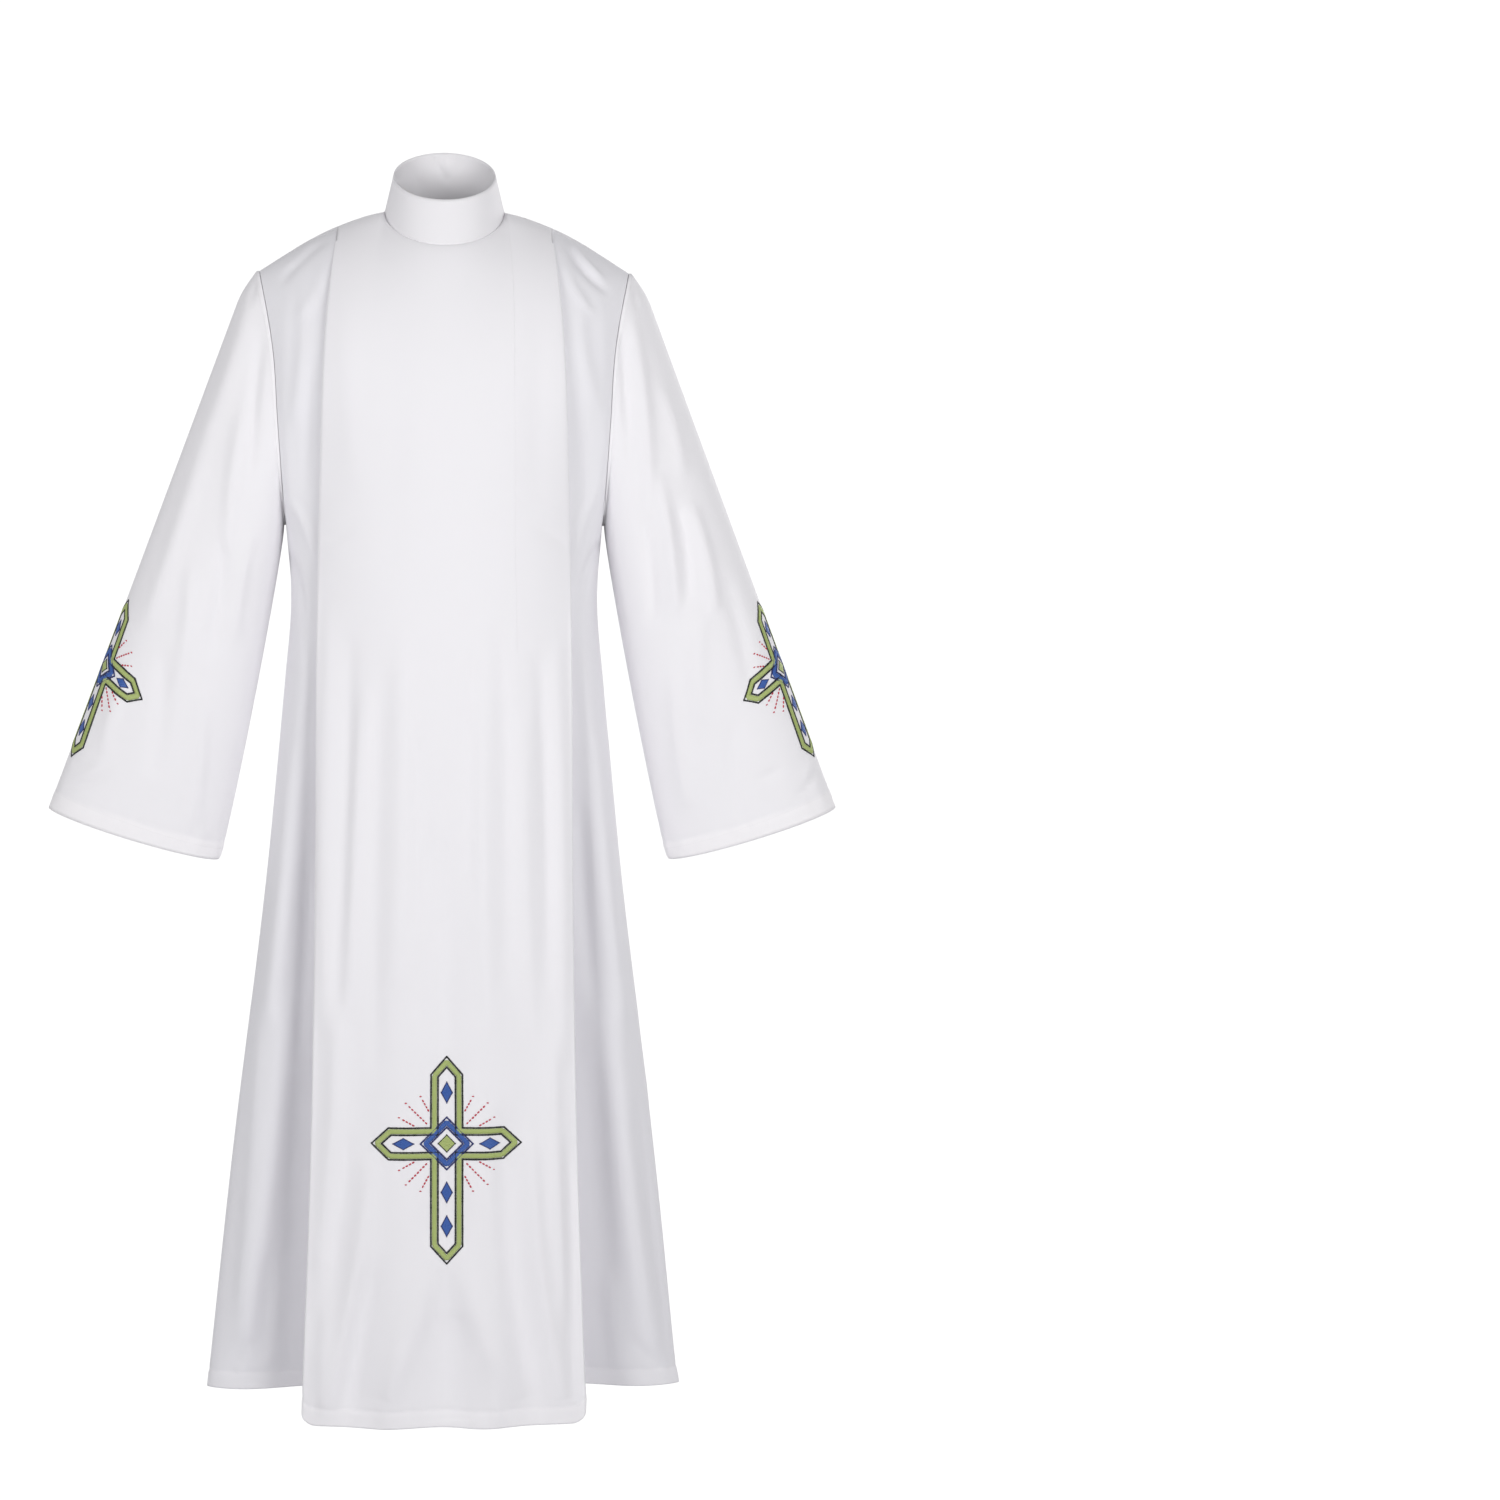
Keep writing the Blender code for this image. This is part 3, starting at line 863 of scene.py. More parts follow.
def laidFlat(surface, across, down):
    # columns and rows of places on a cloth, measured along it from its middle column and its top
    acrosses, downs = lengths(surface, 1), lengths(surface, 0)
    middle = surface.shape[1] // 2
    acrosses = acrosses - acrosses[:, middle : middle + 1]
    numbers = np.arange(surface.shape[1])
    rows = np.interp(down, downs[:, middle], np.arange(len(surface)))
    above = np.clip(rows.astype(int), 0, len(surface) - 2)
    columns = [
        np.interp(wanted, mix(acrosses[i], acrosses[i + 1], row - i), numbers)
        for wanted, row, i in zip(across, rows, above)
    ]
    return np.array(columns), rows


def runOnGrid(surface, columns, rows, pitch, length):
    # a row of stitches along a path of columns and rows: where each stitch starts and ends
    spread = np.linspace(0, len(columns) - 1, stitchLook["pathSamples"])
    columns = np.interp(spread, np.arange(len(columns)), columns)
    rows = np.interp(spread, np.arange(len(rows)), rows)
    path = onGrid(surface, columns, rows)
    along = np.concatenate(([0.0], np.cumsum(np.linalg.norm(np.diff(path, axis=0), axis=1))))
    centres = np.arange(pitch / 2, along[-1] - pitch / 2, pitch)
    ends = np.stack((centres - length / 2, centres + length / 2), 1)
    return np.stack((np.interp(ends, along, columns), np.interp(ends, along, rows)), -1)


def stitchTree():
    # puts a thread, thick in its middle, on every point, turned along the cloth as the point says
    tree = bpy.data.node_groups.new("stitches", "GeometryNodeTree")
    for name, kind, side in (
        ("Geometry", "Geometry", "INPUT"),
        ("Around", "Int", "INPUT"),
        ("Lengthwise", "Int", "INPUT"),
        ("Unevenness", "Float", "INPUT"),
        ("Seed", "Int", "INPUT"),
        ("Material", "Material", "INPUT"),
        ("Geometry", "Geometry", "OUTPUT"),
    ):
        tree.interface.new_socket(name, in_out=side, socket_type="NodeSocket" + kind)
    given = addNode(tree, "NodeGroupInput").outputs

    def pointValue(name, kind):
        node = addNode(tree, "GeometryNodeInputNamedAttribute", {"data_type": kind}, Name=name)
        return node.outputs["Attribute"]

    turn = addNode(
        tree,
        "FunctionNodeAxesToRotation",
        {"primary_axis": "X", "secondary_axis": "Z"},
        i0=pointValue("along", "FLOAT_VECTOR"),
        i1=pointValue("out", "FLOAT_VECTOR"),
    )
    uneven = addNode(
        tree,
        "FunctionNodeRandomValue",
        {"data_type": "FLOAT"},
        i2=calculate(tree, "SUBTRACT", 1.0, given["Unevenness"]),
        i3=calculate(tree, "ADD", 1.0, given["Unevenness"]),
        Seed=given["Seed"],
    )
    size = addNode(
        tree,
        "ShaderNodeCombineXYZ",
        X=pointValue("long", "FLOAT"),
        Y=calculate(tree, "MULTIPLY", pointValue("thick", "FLOAT"), uneven.outputs[1]),
        Z=pointValue("high", "FLOAT"),
    )
    lens = addNode(
        tree,
        "GeometryNodeMeshUVSphere",
        Segments=given["Around"],
        Rings=given["Lengthwise"],
        Radius=0.5,
    )
    # the sphere's poles become the stitch's ends
    quarter = (0.0, math.pi / 2, 0.0)
    laid = addNode(tree, "GeometryNodeTransform", Geometry=lens.outputs["Mesh"], Rotation=quarter)
    copies = addNode(
        tree,
        "GeometryNodeInstanceOnPoints",
        Points=given["Geometry"],
        Instance=laid.outputs["Geometry"],
        Rotation=turn.outputs["Rotation"],
        Scale=size.outputs["Vector"],
    )
    real = addNode(tree, "GeometryNodeRealizeInstances", Geometry=copies.outputs["Instances"])
    smooth = addNode(tree, "GeometryNodeSetShadeSmooth", Geometry=real.outputs["Geometry"]).outputs
    painted = addNode(
        tree, "GeometryNodeSetMaterial", Geometry=smooth["Geometry"], Material=given["Material"]
    )
    addNode(tree, "NodeGroupOutput", Geometry=painted.outputs["Geometry"])
    return tree


stitchNodes = stitchTree()


def sewn(name, surface, out, runs, threadName):
    # one piece of all the stitches in runs: a run has its stitches' ends, thickness and height
    ends = np.concatenate([run[0] for run in runs])
    counts = [len(run[0]) for run in runs]
    thick, high = (np.repeat([run[i] for run in runs], counts) for i in (1, 2))
    places = onGrid(surface, ends[..., 0], ends[..., 1])
    along = places[:, 1] - places[:, 0]
    middle = np.moveaxis(ends.mean(1), -1, 0)
    away = onGrid(out, *middle)
    centres = onGrid(surface, *middle) + away * high[:, None] * stitchLook["lift"]
    mesh = bpy.data.meshes.new(name + "Points")
    mesh.from_pydata(centres.tolist(), [], [])
    pointValues = {
        "along": ("FLOAT_VECTOR", along),
        "out": ("FLOAT_VECTOR", away),
        "long": ("FLOAT", np.linalg.norm(along, axis=1)),
        "thick": ("FLOAT", thick),
        "high": ("FLOAT", high),
    }
    for key, (kind, values) in pointValues.items():
        addLayer(mesh, key, kind, values)
    dots = added(name + "Points", mesh)
    sewing = dots.modifiers.new("stitches", "NODES")
    sewing.node_group = stitchNodes
    wanted = {
        "Around": stitchLook["around"],
        "Lengthwise": stitchLook["lengthwise"],
        "Unevenness": stitchLook["unevenness"],
        "Seed": stitchLook["seed"],
        "Material": threadMaterials[threadName],
    }
    for socket in stitchNodes.interface.items_tree:
        if socket.in_out == "INPUT" and socket.name in wanted:
            sewing[socket.identifier] = wanted[socket.name]
    bpy.context.view_layer.update()
    evaluated = dots.evaluated_get(bpy.context.evaluated_depsgraph_get())
    made = bpy.data.meshes.new_from_object(evaluated)
    made.name = name
    for layer in list(made.attributes):
        if layer.name in pointValues:
            made.attributes.remove(layer)
    bpy.data.objects.remove(dots)
    bpy.data.meshes.remove(mesh)
    piece = added(name, made)
    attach(piece, "root")
    return piece


# Topstitching: white thread, just inside each edge and seam
topstitch = {
    "pitch": 3.0 * mm,
    "length": 2.3 * mm,
    "thickness": 0.6 * mm,
    "height": 0.45 * mm,
    "fromSeam": 6 * mm,
    "fromRim": 4 * mm,
}


def rowFrom(surface, distance, column, fromEnd=False):
    # the row at a distance along a column from the top, or from the hem
    down = lengths(surface, 0)[:, int(column)]
    wanted = down[-1] - distance if fromEnd else distance
    return np.interp(wanted, down, np.arange(len(down)))


def topRow(surface, distance, first, last, fromEnd=False):
    row = rowFrom(surface, distance, (first + last) / 2, fromEnd)
    ends = runOnGrid(surface, (first, last), (row, row), topstitch["pitch"], topstitch["length"])
    return ends, topstitch["thickness"], topstitch["height"]


def topstitched(name, surface, turned, runs):
    return sewn(name, surface, normals(surface, turned), runs, "whiteCottonThread")


# Embroidery: a plain cross with straight arms and pointed ends, and rays between the arms,
# all in millimetres from the crossing
cross = {
    "up": 96,
    "side": 83,
    "down": 136,
    "half": 14.5,
    "point": 16,
    "padPitch": 2,
    "padStitch": 6,
    "padThick": 6.2,
    "padHeight": 0.8,  # of the height below, as the next one is
    "laidHeight": 1.3,
    "bandPitch": 0.95,
    "bandReach": 6.6,
    "bandThick": 1.6,
    "edge": 4.2,
    "edgePitch": 1.7,
    "edgeStitch": 4.2,
    "edgeThick": 2.3,
    "patchEdge": 0.6,  # of an edge's thickness, as the knots' is
    "knotThick": 0.8,
    "knotBeyond": 4,
    "knotHalf": 1.5,
    "crossing": 25,
    "heart": 10,
    "diamondWide": 6.5,
    "diamondHigh": 12,
    "diamondsY": (60, -58, -98),
    "diamondsX": (-51, 51),
    "fillPitch": 0.95,
    "fillStitch": 8,
    "fillThick": 2.1,
    "fillLeast": 0.25,  # of a fill stitch: the shortest that is left at a row's end
    "fillLap": 0.3,
    "rays": ((45, 32, 64), (29, 43, 60), (61, 43, 60)),  # degrees, where each starts and ends
    "rayPitch": 4.4,
    "rayStitch": 3.6,
    "rayThick": 2.3,
    "height": 0.9,
}


def crossOutline():
    corners = []
    arms = (("up", 0, 1), ("side", -1, 0), ("down", 0, -1), ("side", 1, 0))
    for arm, aimX, aimY in arms:
        far, half = cross[arm], cross["half"]
        aim, right = np.array((aimX, aimY)), np.array((aimY, -aimX))
        corners += [
            aim * half + right * half,
            aim * (far - cross["point"]) + right * half,
            aim * far,
            aim * (far - cross["point"]) - right * half,
        ]
    return np.array(corners, float)


def lozenge(x, y, halfWide, halfHigh):
    away = ((halfWide, 0), (0, halfHigh), (-halfWide, 0), (0, -halfHigh))
    return np.array([(x + awayX, y + awayY) for awayX, awayY in away], float)


def shifted(corners, distance):
    # a closed outline moved outwards by a distance
    side = np.roll(corners, -1, axis=0) - corners
    out = np.stack((side[:, 1], -side[:, 0]), -1) / np.linalg.norm(side, axis=1, keepdims=True)
    before = np.roll(out, 1, axis=0)
    return corners + (out + before) * distance / (1 + (out * before).sum(1, keepdims=True))


def running(corners, pitch, length, closed=True):
    ends = []
    following = np.roll(corners, -1, axis=0) if closed else corners[1:]
    for start, end in zip(corners, following):
        far = np.linalg.norm(end - start)
        count = max(round(far / pitch), 1)
        centres = start + (end - start) * ((np.arange(count) + 0.5) / count)[:, None]
        half = (end - start) / far * length / 2
        ends.append(np.stack((centres - half, centres + half), 1))
    return np.concatenate(ends)


def satin(corners, width, pitch):
    # short threads side by side across a closed outline
    ends = running(corners, pitch, width)
    middle = ends.mean(1, keepdims=True)
    reach = ends - middle
    return middle + np.stack((-reach[..., 1], reach[..., 0]), -1)


def filled(corners, pitch, longest):
    # threads side by side that fill a lozenge, long ones laid in steps
    middle = corners.mean(0)
    halfWide, halfHigh = corners[0, 0] - middle[0], corners[1, 1] - middle[1]
    ends = []
    for i, y in enumerate(np.arange(-halfHigh + pitch, halfHigh, pitch)):
        reach = halfWide * (1 - abs(y) / halfHigh)
        first = -reach + longest * (1 + i % 2) / 2
        cuts = np.arange(first, reach - longest * cross["fillLeast"], longest)
        steps = np.concatenate(([-reach], cuts, [reach]))
        for left, right in zip(steps, steps[1:]):
            ends.append(((left - cross["fillLap"], y), (right + cross["fillLap"], y)))
    return np.array(ends) + middle


def crossStitches(scale):
    # every stitch of a cross, by its thread: ends, thickness and height
    stitches = {name: [] for name, kind in threads.items() if kind.slot != "thread"}
    low, high = cross["height"] * cross["padHeight"], cross["height"] * cross["laidHeight"]

    def add(name, ends, thick, height=cross["height"]):
        stitches[name].append((ends, thick, height))

    def band(corners, name, edgeName):
        # satin over a padding of long stitches, between two dark lines
        add(name, running(corners, cross["padPitch"], cross["padStitch"]), cross["padThick"], low)
        laid = satin(corners, cross["bandReach"], cross["bandPitch"])
        add(name, laid, cross["bandThick"], high)
        for way in (-1, 1):
            line = shifted(corners, way * cross["edge"])
            edge = running(line, cross["edgePitch"], cross["edgeStitch"])
            add(edgeName, edge, cross["edgeThick"], high)

    def patch(corners, name, edgeName):
        add(name, filled(corners, cross["fillPitch"], cross["fillStitch"]), cross["fillThick"])
        edge = running(corners, cross["edgePitch"], cross["edgeStitch"])
        add(edgeName, edge, cross["edgeThick"] * cross["patchEdge"], high)

    def square(size):
        return lozenge(0, 0, cross[size], cross[size]) * scale

    green, blue = ("greenRayonFloss", "blackGreenRayonFloss"), ("blueRayonFloss", "navyRayonFloss")
    band(crossOutline() * scale, *green)
    band(square("crossing"), *blue)
    patch(square("heart"), *green)
    narrow, tall = cross["diamondWide"], cross["diamondHigh"]
    for y in cross["diamondsY"]:
        patch(lozenge(0, y, narrow, tall) * scale, *blue)
    for x in cross["diamondsX"]:
        patch(lozenge(x, 0, tall, narrow) * scale, *blue)
    hands = [(handX, handY) for handX in (-1, 1) for handY in (-1, 1)]
    for hand in hands:
        for degrees, start, end in cross["rays"]:
            angle = math.radians(degrees)
            aim = np.array(hand) * (math.cos(angle), math.sin(angle))
            line = np.array((aim * start, aim * end)) * scale
            ray = running(line, cross["rayPitch"], cross["rayStitch"], False)
            add("roseCottonFloss", ray, cross["rayThick"])
            half = cross["knotHalf"]
            knot = aim * (end + cross["knotBeyond"]) * scale + np.array(((-half, 0), (half, 0)))
            add("roseCottonFloss", knot[None], cross["edgeThick"] * cross["knotThick"])
    return stitches


def embroidered(name, surface, turned, place):
    # a cross on a cloth, its crossing at a height and some way to one side of the middle column
    out = normals(surface, turned)
    middle = surface.shape[1] // 2
    down = lengths(surface, 0)[:, middle]
    crossingDown = np.interp(-place["crossZ"], -surface[:, middle, 2], down)
    pieces = []
    for threadName, runs in crossStitches(place["crossScale"]).items():
        laidRuns = []
        for ends, thick, height in runs:
            flat = ends.reshape(-1, 2) * mm
            across = place["crossAside"] + flat[:, 0]
            onCloth = np.stack(laidFlat(surface, across, crossingDown - flat[:, 1]), -1)
            laidRuns.append((onCloth.reshape(-1, 2, 2), thick * mm, height * mm))
        word = threads[threadName].word
        pieces.append(sewn(name + word, surface, out, laidRuns, threadName))
    return pieces


def ready(piece, node):
    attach(piece, "root")
    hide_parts(node)


# Rows of creases, with the columns of Crease

panelCreases = (
    # the chest, nearly smooth, with a faint pull at each armhole's height
    (-112, -90, -100, -330, 4, 22, 0.7),
    (-60, -120, -66, -420, -5, 26, -0.6),
    (24, -100, 30, -380, 4, 24, 0.5),
    (108, -110, 104, -350, -4, 22, -0.7),
    (-139, -386, -104, -366, 3, 8, -0.45),
    (108, -370, 144, -394, -3, 9, -0.5),
    # the skirt of the panel: long soft folds that fan out downwards
    (-134, -470, -140, -960, 3, 15, 1.3),
    (-110, -500, -126, -930, -4, 13, -1.4),
    (-93, -560, -112, -930, 3, 15, 1.5),
    (-72, -540, -80, -1000, 4, 14, -1.2),
    (-50, -500, -56, -900, -3, 16, 1.2),
    (-27, -600, -30, -840, 2, 13, -0.8),
    (0, -735, 2, -1040, 0, 24, -1.6),
    (27, -520, 30, -800, -3, 13, -1.0),
    (43, -560, 52, -960, 4, 16, 1.4),
    (65, -480, 74, -900, -3, 14, -1.2),
    (92, -590, 104, -960, 4, 15, 1.4),
    (111, -520, 122, -900, -4, 13, -1.5),
    (131, -500, 139, -1000, -2, 14, 1.3),
    # below the cross: light folds in a wide inverted V, and the deeper ones by the edges
    (-124, -930, -141, -1240, -3, 17, 1.9),
    (-140, -1220, -142, -1400, 0, 14, 1.6),
    (-86, -1110, -136, -1406, -6, 17, 3.0),
    (-114, -1080, -150, -1330, -3, 16, -1.9),
    (-84, -1240, -112, -1408, 4, 18, -2.6),
    (-8, -1205, -76, -1390, -6, 26, 2.4),
    (10, -1205, 92, -1392, 8, 26, 2.4),
    (6, -1290, 12, -1420, 0, 30, -2.2),
    (-48, -1330, -66, -1424, 0, 15, 1.3),
    (54, -1330, 66, -1424, 0, 15, 1.2),
    (100, -1080, 138, -1396, 7, 17, 2.9),
    (70, -1060, 108, -1404, 9, 20, -2.8),
    (126, -960, 144, -1300, 3, 13, 1.6),
    (146, -1100, 153, -1400, 0, 11, -1.8),
)

def softenedEdge(surface):
    # rounds the hem's two lower corners and lets its edge dip a little in two places
    x = surface[..., 0]
    half = abs(x[-1]).max()
    corner = np.clip((abs(x) - half + panel["cornerRadius"]) / panel["cornerRadius"], 0, 1)
    raised = panel["cornerRadius"] * (1 - np.sqrt(1 - corner**2)) * panel["cornerRise"]
    dips = sum(np.exp(-(((x - at) / panel["dipHalf"]) ** 2)) for at in panel["dipsAt"])
    fade = np.exp(-(fromHem(surface) / panel["edgeFade"]))
    return surface + points(0, 0, (raised - panel["dip"] * dips) * fade)


foldColumn = body["neckColumns"] + body["shoulderColumns"]
panelHalf = foldColumn + panel["foldColumns"] + panel["returnColumns"]
panelColumns = stepsTo(-panelHalf, panelHalf, panel["fineStep"])
panelEdge = panel["edgeColumns"]
panelShown = ease((foldColumn + panelEdge - abs(panelColumns)) / panelEdge)
panelSurface = softenedEdge(smoothedAtArm(grid(panelPoint, panelColumns, bodyRows)))
panelOut = normals(panelSurface, False)
panelSurface = creased(panelSurface, panelOut, panelCreases, panelShown)
panelSurface = hemmed(panelSurface, panelOut, hem["band"], panel["hemPhase"])
frontPiece = shell("centreFrontPanel", panelSurface, paintedLightShareOn(panelSurface, panel, hem["band"]))
ready(frontPiece, "front_centre")


def panelAt(column):
    return (np.array(column) + panelHalf) * panel["fineStep"]


def rowAt(row):
    return np.interp(row, bodyRows, np.arange(len(bodyRows)))


# the closing's stitched line starts where the neck meets the shoulder on the wearer's left
closing = runOnGrid(
    panelSurface,
    panelAt(panel["closingColumns"]),
    rowAt(panel["closingRows"]),
    topstitch["pitch"],
    topstitch["length"],
)
seamStart, seamEnd = panel["seamColumns"]
panelRuns = [
    topRow(panelSurface, hem["band"], 0, len(panelColumns) - 1, True),
    topRow(panelSurface, topstitch["fromSeam"], panelAt(seamStart), panelAt(seamEnd)),
    topRow(panelSurface, topstitch["fromSeam"], panelAt(-seamEnd), panelAt(-seamStart)),
    (closing, topstitch["thickness"], topstitch["height"]),
]
panelSewing = [topstitched("panelTopstitching", panelSurface, False, panelRuns)]
panelSewing += embroidered("frontCross", panelSurface, False, panel)

sideCreases = {
    "left": (
        # short pulls that spread from the pleat's top, then the yoke's own folds
        (143, -34, 189, -92, 5, 7, -1.7),
        (150, -36, 186, -78, 3, 5, 1.3),
        (142, -62, 172, -118, 5, 7, 1.1),
        (158, -100, 178, -230, 6, 13, 1.2),
        (150, -200, 162, -350, -4, 11, -1.2),
        (176, -330, 150, -420, 5, 10, 1.4),
        (186, -385, 160, -450, 4, 8, -1.4),
        (160, -470, 176, -640, 3, 12, 1.2),
        (176, -620, 214, -960, 4, 18, 2.4),
        (160, -700, 178, -940, 3, 12, -1.6),
        (196, -930, 250, -1360, 6, 24, 3.4),
        (176, -1010, 200, -1360, 4, 24, -1.5),
        (232, -1060, 276, -1390, 3, 15, -2.0),
        (196, -1260, 214, -1396, 2, 13, 1.6),
        (226, -1342, 262, -1378, 2, 7, -0.9),
    ),
    "right": (
        (139, -34, 190, -84, -4, 8, -1.2),
        (156, -38, 184, -66, 2, 6, 0.8),
        (143, -66, 168, -126, 5, 9, 0.8),
        (164, -90, 176, -250, 5, 12, 1.1),
        (152, -180, 158, -330, -3, 11, -1.2),
        (180, -340, 152, -404, 4, 9, 1.3),
        (184, -400, 166, -478, 4, 8, -1.3),
        (162, -500, 174, -650, 2, 12, 1.1),
        (173, -640, 208, -960, 3, 18, 2.6),
        (158, -760, 172, -1000, 2, 12, -1.5),
        (190, -940, 240, -1340, 5, 21, 3.4),
        (216, -945, 243, -1300, 3, 13, 1.5),
        (170, -1020, 192, -1380, 4, 24, -1.4),
        (208, -1240, 226, -1396, 2, 14, -1.7),
        (228, -1340, 262, -1382, 2, 7, -1.0),
        (196, -1352, 222, -1374, 1, 7, 0.6),
    ),
}

sideWide = sideFront["hiddenColumns"] + sideFront["columns"]
sideColumns = stepsTo(0, sideWide, sideFront["fineStep"])
plainSide = smoothedAtArm(grid(sidePoint, sideColumns, bodyRows))
sideOut = normals(plainSide, False)
sideShown = ease((sideWide - sideColumns) / sideFront["edgeColumns"])
hiddenEnd, lastSide = sideFront["hiddenColumns"] * sideFront["fineStep"], len(sideColumns) - 1
for name, flip in (("left", False), ("right", True)):
    surface = creased(plainSide, sideOut, sideCreases[name], sideShown)
    surface = hemmed(surface, sideOut, hem["band"], sideFront["hemPhase"][name])
    surface = mirrored(surface) if flip else surface
    sidePaintedLightShare = paintedLightShareOn(surface, sideFront, hem["band"])
    piece = shell("sideFront" + name.capitalize(), surface, sidePaintedLightShare, turned=flip)
    ready(piece, "side_front_" + name)
    sideRuns = [
        topRow(surface, hem["band"], 0, lastSide, True),
        topRow(surface, topstitch["fromSeam"], hiddenEnd, lastSide),
    ]
    sewing = topstitched("sideTopstitching" + name.capitalize(), surface, flip, sideRuns)

backCreases = (
    (-60, -70, -130, -330, 10, 20, 1.2),
    (70, -60, 124, -300, -9, 20, 1.1),
    (-96, -120, -150, -380, 6, 14, -1.4),
    (104, -150, 148, -390, -6, 14, -1.3),
    (-20, -150, -34, -560, 3, 22, -1.0),
    (28, -180, 40, -640, -4, 22, 1.0),
    (-165, -360, -120, -430, 4, 9, -1.5),
    (168, -372, 128, -436, -4, 9, -1.4),
    (-92, -520, -120, -960, 5, 16, 1.6),
    (-58, -600, -66, -1080, 4, 15, -1.4),
    (10, -700, 4, -1180, 3, 17, 1.5),
    (64, -560, 82, -1020, -5, 15, -1.5),
    (110, -620, 142, -1100, -4, 16, 1.8),
    (-150, -700, -190, -1200, 5, 16, -1.8),
    (164, -760, 206, -1280, -4, 17, -1.9),
    (-112, -1060, -124, -1396, 3, 15, 1.9),
    (-36, -1140, -30, -1396, 3, 14, -1.7),
    (48, -1100, 60, -1396, 3, 14, 1.7),
    (128, -1160, 146, -1396, 3, 13, -1.6),
    (210, -1150, 226, -1390, 2, 13, 1.4),
    (-206, -1200, -228, -1390, 2, 13, 1.5),
)

backHalf = body["neckColumns"] + backPanel["columns"]
backColumns = stepsTo(-backHalf, backHalf, backPanel["fineStep"])
backSurface = smoothedAtArm(grid(backPoint, backColumns, bodyRows))
backOut = normals(backSurface, True)
backShown = ease((backHalf - abs(backColumns)) / backPanel["edgeColumns"])
backSurface = creased(backSurface, backOut, backCreases, backShown)
backSurface = hemmed(backSurface, backOut, hem["band"], backPanel["hemPhase"])
backPaintedLightShare = paintedLightShareOn(backSurface, backPanel, hem["band"])
backPiece = shell("backPanel", backSurface, backPaintedLightShare, turned=True)
ready(backPiece, "back")
lastBack, neckEdge = len(backColumns) - 1, backPanel["columns"] * backPanel["fineStep"]
backRuns = [
    topRow(backSurface, hem["band"], 0, lastBack, True),
    topRow(backSurface, topstitch["fromSeam"], 0, neckEdge),
    topRow(backSurface, topstitch["fromSeam"], lastBack - neckEdge, lastBack),
]
backSewing = topstitched("backTopstitching", backSurface, True, backRuns)

sleeveFrontCreases = {
    "left": (
        (219, -120, 241, -352, -5, 12, 2.0),
        (209, -140, 218, -280, 0, 9, -1.8),
        (252, -310, 272, -470, -3, 11, 2.2),
        (256, -205, 281, -306, -3, 12, 1.4),
        (291, -345, 319, -470, -4, 11, 2.2),
        (273, -345, 288, -456, -3, 10, -2.2),
        (236, -360, 246, -480, -2, 10, -1.8),
        (300, -480, 306, -600, 4, 14, 1.4),
        (330, -430, 362, -560, -4, 13, -1.2),
        (270, -540, 288, -700, 3, 12, 1.4),
        (340, -600, 352, -715, 3, 14, -1.2),
        (372, -668, 398, -655, 1, 6, -0.9),
        (418, -690, 444, -660, 3, 6, -0.9),
        (428, -668, 440, -640, 2, 6, 0.6),
        (222, -84, 226, -112, 0, 4, -0.9),
    ),
    "right": (
        (223, -92, 276, -262, 3, 16, 2.0),
        (274, -250, 350, -486, 3, 16, 1.8),
        (214, -150, 226, -300, -3, 10, -1.7),
        (236, -240, 254, -400, -3, 12, 1.7),
        (258, -390, 276, -520, 3, 10, -1.8),
        (226, -380, 246, -500, -3, 10, 1.6),
        (296, -420, 312, -560, 3, 12, 1.6),
        (330, -520, 342, -660, 4, 13, -1.3),
        (284, -570, 296, -720, 3, 12, 1.3),
        (372, -540, 402, -640, -3, 12, 1.1),
        (396, -664, 448, -676, 3, 6, -1.0),
        (412, -650, 438, -652, 2, 5, -0.7),
        (400, -648, 430, -662, 2, 6, 0.6),
        (220, -82, 225, -110, 0, 4, -0.9),
    ),
}
sleeveBackCreases = {
    "left": (
        (222, -110, 262, -330, 5, 15, 1.6),
        (212, -180, 230, -360, 3, 11, -1.8),
        (270, -320, 318, -520, 4, 13, 1.8),
        (244, -420, 270, -590, 3, 12, -1.7),
        (330, -540, 366, -690, 3, 13, 1.4),
        (290, -600, 300, -720, 2, 12, 1.2),
    ),
    "right": (
        (226, -130, 252, -300, 4, 14, 1.6),
        (210, -200, 224, -340, 3, 10, -1.7),
        (258, -290, 300, -470, 4, 13, 1.7),
        (286, -400, 322, -560, 4, 12, -1.7),
        (250, -450, 266, -600, 2, 12, 1.3),
        (346, -560, 380, -680, 3, 13, 1.3),
    ),
}

sleeveSteps = stepsTo(0, 2 * body["upperRows"], sleeve["fineStep"])
plainSleeve = grid(sleevePoint, sleeveSteps, stepsTo(0, sleeve["rows"], sleeve["fineRows"]))
sleeveOut = normals(plainSleeve, True)
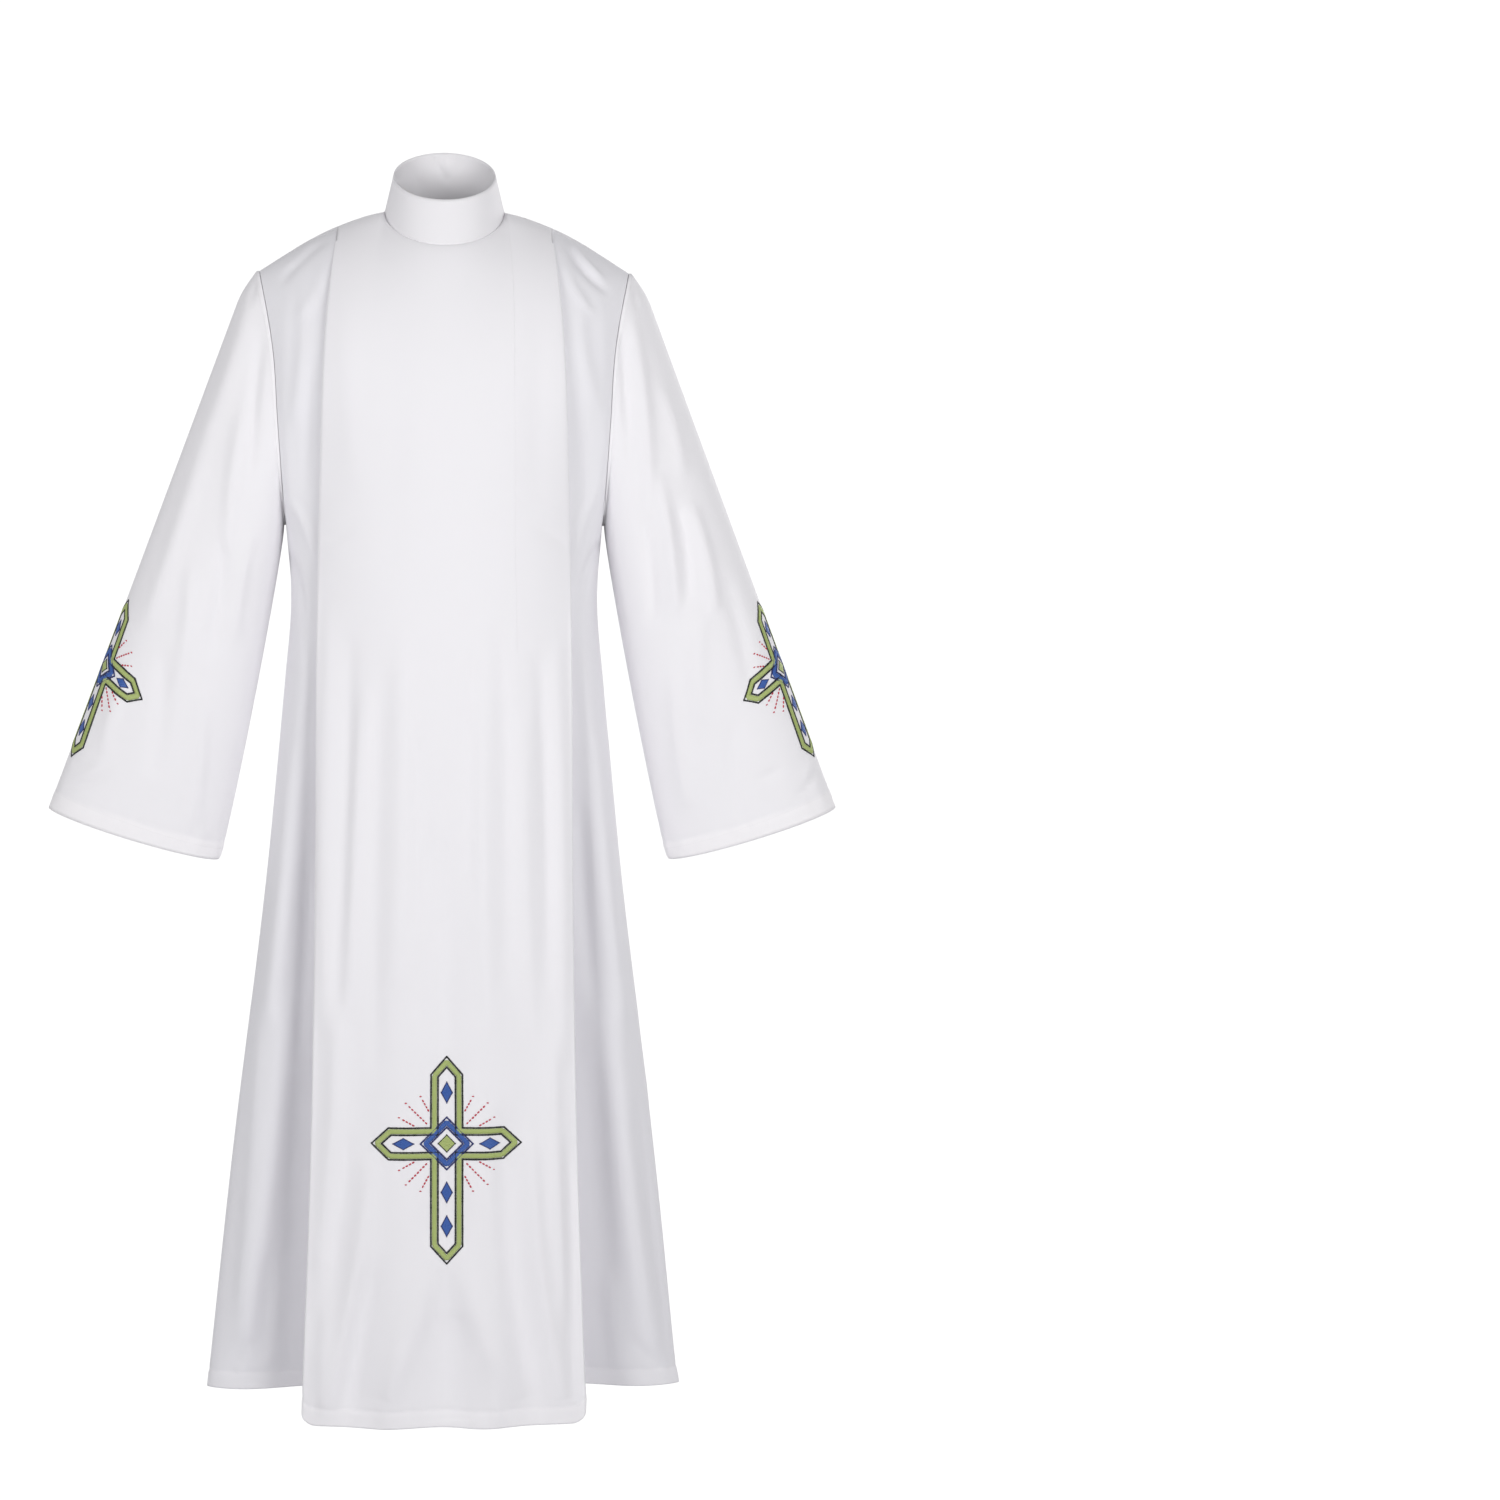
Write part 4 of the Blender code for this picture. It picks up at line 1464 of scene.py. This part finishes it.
# positive on the front, negative on the back
sleeveTurn = sleeve["creaseEdge"] * np.sin(math.pi * sleeveSteps / body["upperRows"])
foldAt = body["upperRows"] * sleeve["fineStep"]
for name, flip in (("left", True), ("right", False)):
    surface = creased(plainSleeve, sleeveOut, sleeveFrontCreases[name], ease(sleeveTurn))
    surface = creased(surface, sleeveOut, sleeveBackCreases[name], ease(-sleeveTurn))
    surface = hemmed(surface, sleeveOut, hem["cuffBand"], sleeve["hemPhase"][name])
    surface = surface if flip else mirrored(surface)
    sleevePaintedLightShare = paintedLightShareOn(surface, sleeve, hem["cuffBand"])
    pieceName = "sleeve" + name.capitalize()
    piece = shell(pieceName, surface, sleevePaintedLightShare, closed=True, turned=flip)
    ready(piece, "sleeve_" + name)
    # the sleeve opened at its inner side, so that its outer fold is the middle column
    opened = np.concatenate((surface[:, foldAt:-1], surface[:, : foldAt + 1]), axis=1)
    lastOpened = opened.shape[1] - 1
    sleeveRuns = [
        topRow(opened, topstitch["fromSeam"], 0, lastOpened),
        topRow(opened, hem["cuffBand"], 0, lastOpened, True),
    ]
    sewing = [topstitched("sleeveTopstitching" + name.capitalize(), opened, flip, sleeveRuns)]
    sewing += embroidered("sleeveCross" + name.capitalize(), opened, flip, sleeve)

collarCreases = (
    (-15, 70, 3, 40, 0, 3, 1.0),
    (16, 70, 5, 40, 0, 3, 0.9),
    (0, 70, 1, 48, 0, 5, -0.8),
    (-36, 56, -30, 30, 0, 6, 0.5),
)
collarSteps = stepsTo(0, collar["steps"], collar["fineStep"])
collarSurface = grid(collarPoint, collarSteps, stepsTo(0, collar["rows"], collar["fineRows"]))
collarOut = normals(collarSurface, False)
behind = collarSurface[..., 1] - collar["behindFrom"]
collarShown = ease(collar["creaseEdge"] * behind / body["neckBackY"])
collarSurface = creased(collarSurface, collarOut, collarCreases, collarShown)
collarWall = collar["wall"]
collarPiece = shell("standCollar", collarSurface, collar["paintedLightShare"], closed=True, wall=collarWall)
ready(collarPiece, "collar")
lastCollar = collarSurface.shape[1] - 1
collarRuns = [
    topRow(collarSurface, topstitch["fromRim"], 0, lastCollar),
    topRow(collarSurface, topstitch["fromRim"], 0, lastCollar, True),
]
collarSewing = topstitched("collarTopstitching", collarSurface, False, collarRuns)
print("cloth and sewing made")


# Studio: pale floor, white all round, soft lights and the camera

studio = {
    "floorBelowHem": 400 * mm,
    "floorHex": "DADADD",
    "floorHalfWidth": 1.8,
    "floorFront": -2.0,
    "floorBack": 0.9,
    "frontGlow": 0.34,
    "backGlow": 0.7,
    "glowFrom": -0.2,  # how far back a direction points where the glow starts and stops rising
    "glowTo": 0.6,
    "cameraWhite": 1.35,
    "whiteHex": "F4F4F6",
    "roughness": 0.9,
}


def makeFloor():
    # lies below the picture, so that little light comes up from it
    z = panel["hemZ"] - studio["floorBelowHem"]
    wide, ends = studio["floorHalfWidth"], (studio["floorFront"], studio["floorBack"])
    corners = [(x, y, z) for y in ends for x in (-wide, wide)]
    mesh = bpy.data.meshes.new("studioFloor")
    mesh.from_pydata(corners, [], [(0, 1, 3, 2)])
    # Painted board: plain, pale and matt
    look = {
        "Roughness": studio["roughness"],
        "Metallic": 0.0,
        "Base Color": toLinear(studio["floorHex"]),
    }
    mesh.materials.append(newMaterial("paleMattPaint", look)[0])
    added("studioFloor", mesh)


Light = namedtuple("Light", "name x y z targetX targetY targetZ size spread watts")
studioLights = (
    Light("keyLight", -1.7, -2.1, 0.00, 0, 0, -0.4, 1.1, 180, 25),
    Light("fillLight", 1.5, -2.4, -0.02, 0, 0, -0.4, 1.3, 180, 34),
    Light("backLight", 1.9, 2.2, 0.30, 0, 0, -0.5, 1.2, 180, 15),
)


def makeLights():
    for light in studioLights:
        data = bpy.data.lights.new(light.name, "AREA")
        data.shape = "SQUARE"
        data.size = light.size
        data.spread = math.radians(light.spread)
        data.energy = light.watts
        lamp = added(light.name, data)
        lamp.location = (light.x, light.y, light.z)
        aim = Vector((light.targetX, light.targetY, light.targetZ)) - lamp.location
        lamp.rotation_euler = aim.to_track_quat("-Z", "Y").to_euler()


def makeWorld():
    # white to look at, and it glows less in front of the robe than behind it
    world = bpy.data.worlds.new("softWhite")
    world.use_nodes = True
    tree = world.node_tree
    glow = tree.nodes["Background"]
    glow.inputs["Color"].default_value = toLinear(studio["whiteHex"])
    place = addNode(tree, "ShaderNodeTexCoord")
    parts = addNode(tree, "ShaderNodeSeparateXYZ", Vector=place.outputs["Generated"])
    rising = {
        "From Min": studio["glowFrom"],
        "From Max": studio["glowTo"],
        "To Min": studio["frontGlow"],
        "To Max": studio["backGlow"],
    }
    strength = addNode(tree, "ShaderNodeMapRange", Value=parts.outputs["Y"], **rising)
    tree.links.new(strength.outputs["Result"], glow.inputs["Strength"])
    white = addNode(tree, "ShaderNodeBackground", Strength=studio["cameraWhite"])
    ray = addNode(tree, "ShaderNodeLightPath")
    both = addNode(
        tree,
        "ShaderNodeMixShader",
        Fac=ray.outputs["Is Camera Ray"],
        i1=glow.outputs["Background"],
        i2=white.outputs["Background"],
    )
    tree.links.new(both.outputs["Shader"], tree.nodes["World Output"].inputs["Surface"])
    scene.world = world
    scene.view_settings.view_transform = "Standard"


camera = {
    "distance": 5.5,
    "height": -0.2428,
    "focalShare": 4621.6 / 1500,  # focal length over the picture's width, both in pixels
    "sensor": 36.0,
    "right": 0.0662,  # radians from straight ahead
    "down": 0.0712,
    "roll": 0.0052,
}


def makeCamera():
    data = bpy.data.cameras.new("camera")
    data.sensor_width = camera["sensor"]
    data.lens = camera["focalShare"] * camera["sensor"]
    eye = added("camera", data)
    eye.matrix_world = (
        Matrix.Translation((0, -camera["distance"], camera["height"]))
        @ Matrix.Rotation(-camera["right"], 4, "Z")
        @ Matrix.Rotation(math.pi / 2 - camera["down"], 4, "X")
        @ Matrix.Rotation(camera["roll"], 4, "Z")
    )
    scene.camera = eye


makeFloor()
makeLights()
makeWorld()
makeCamera()
print("studio made")
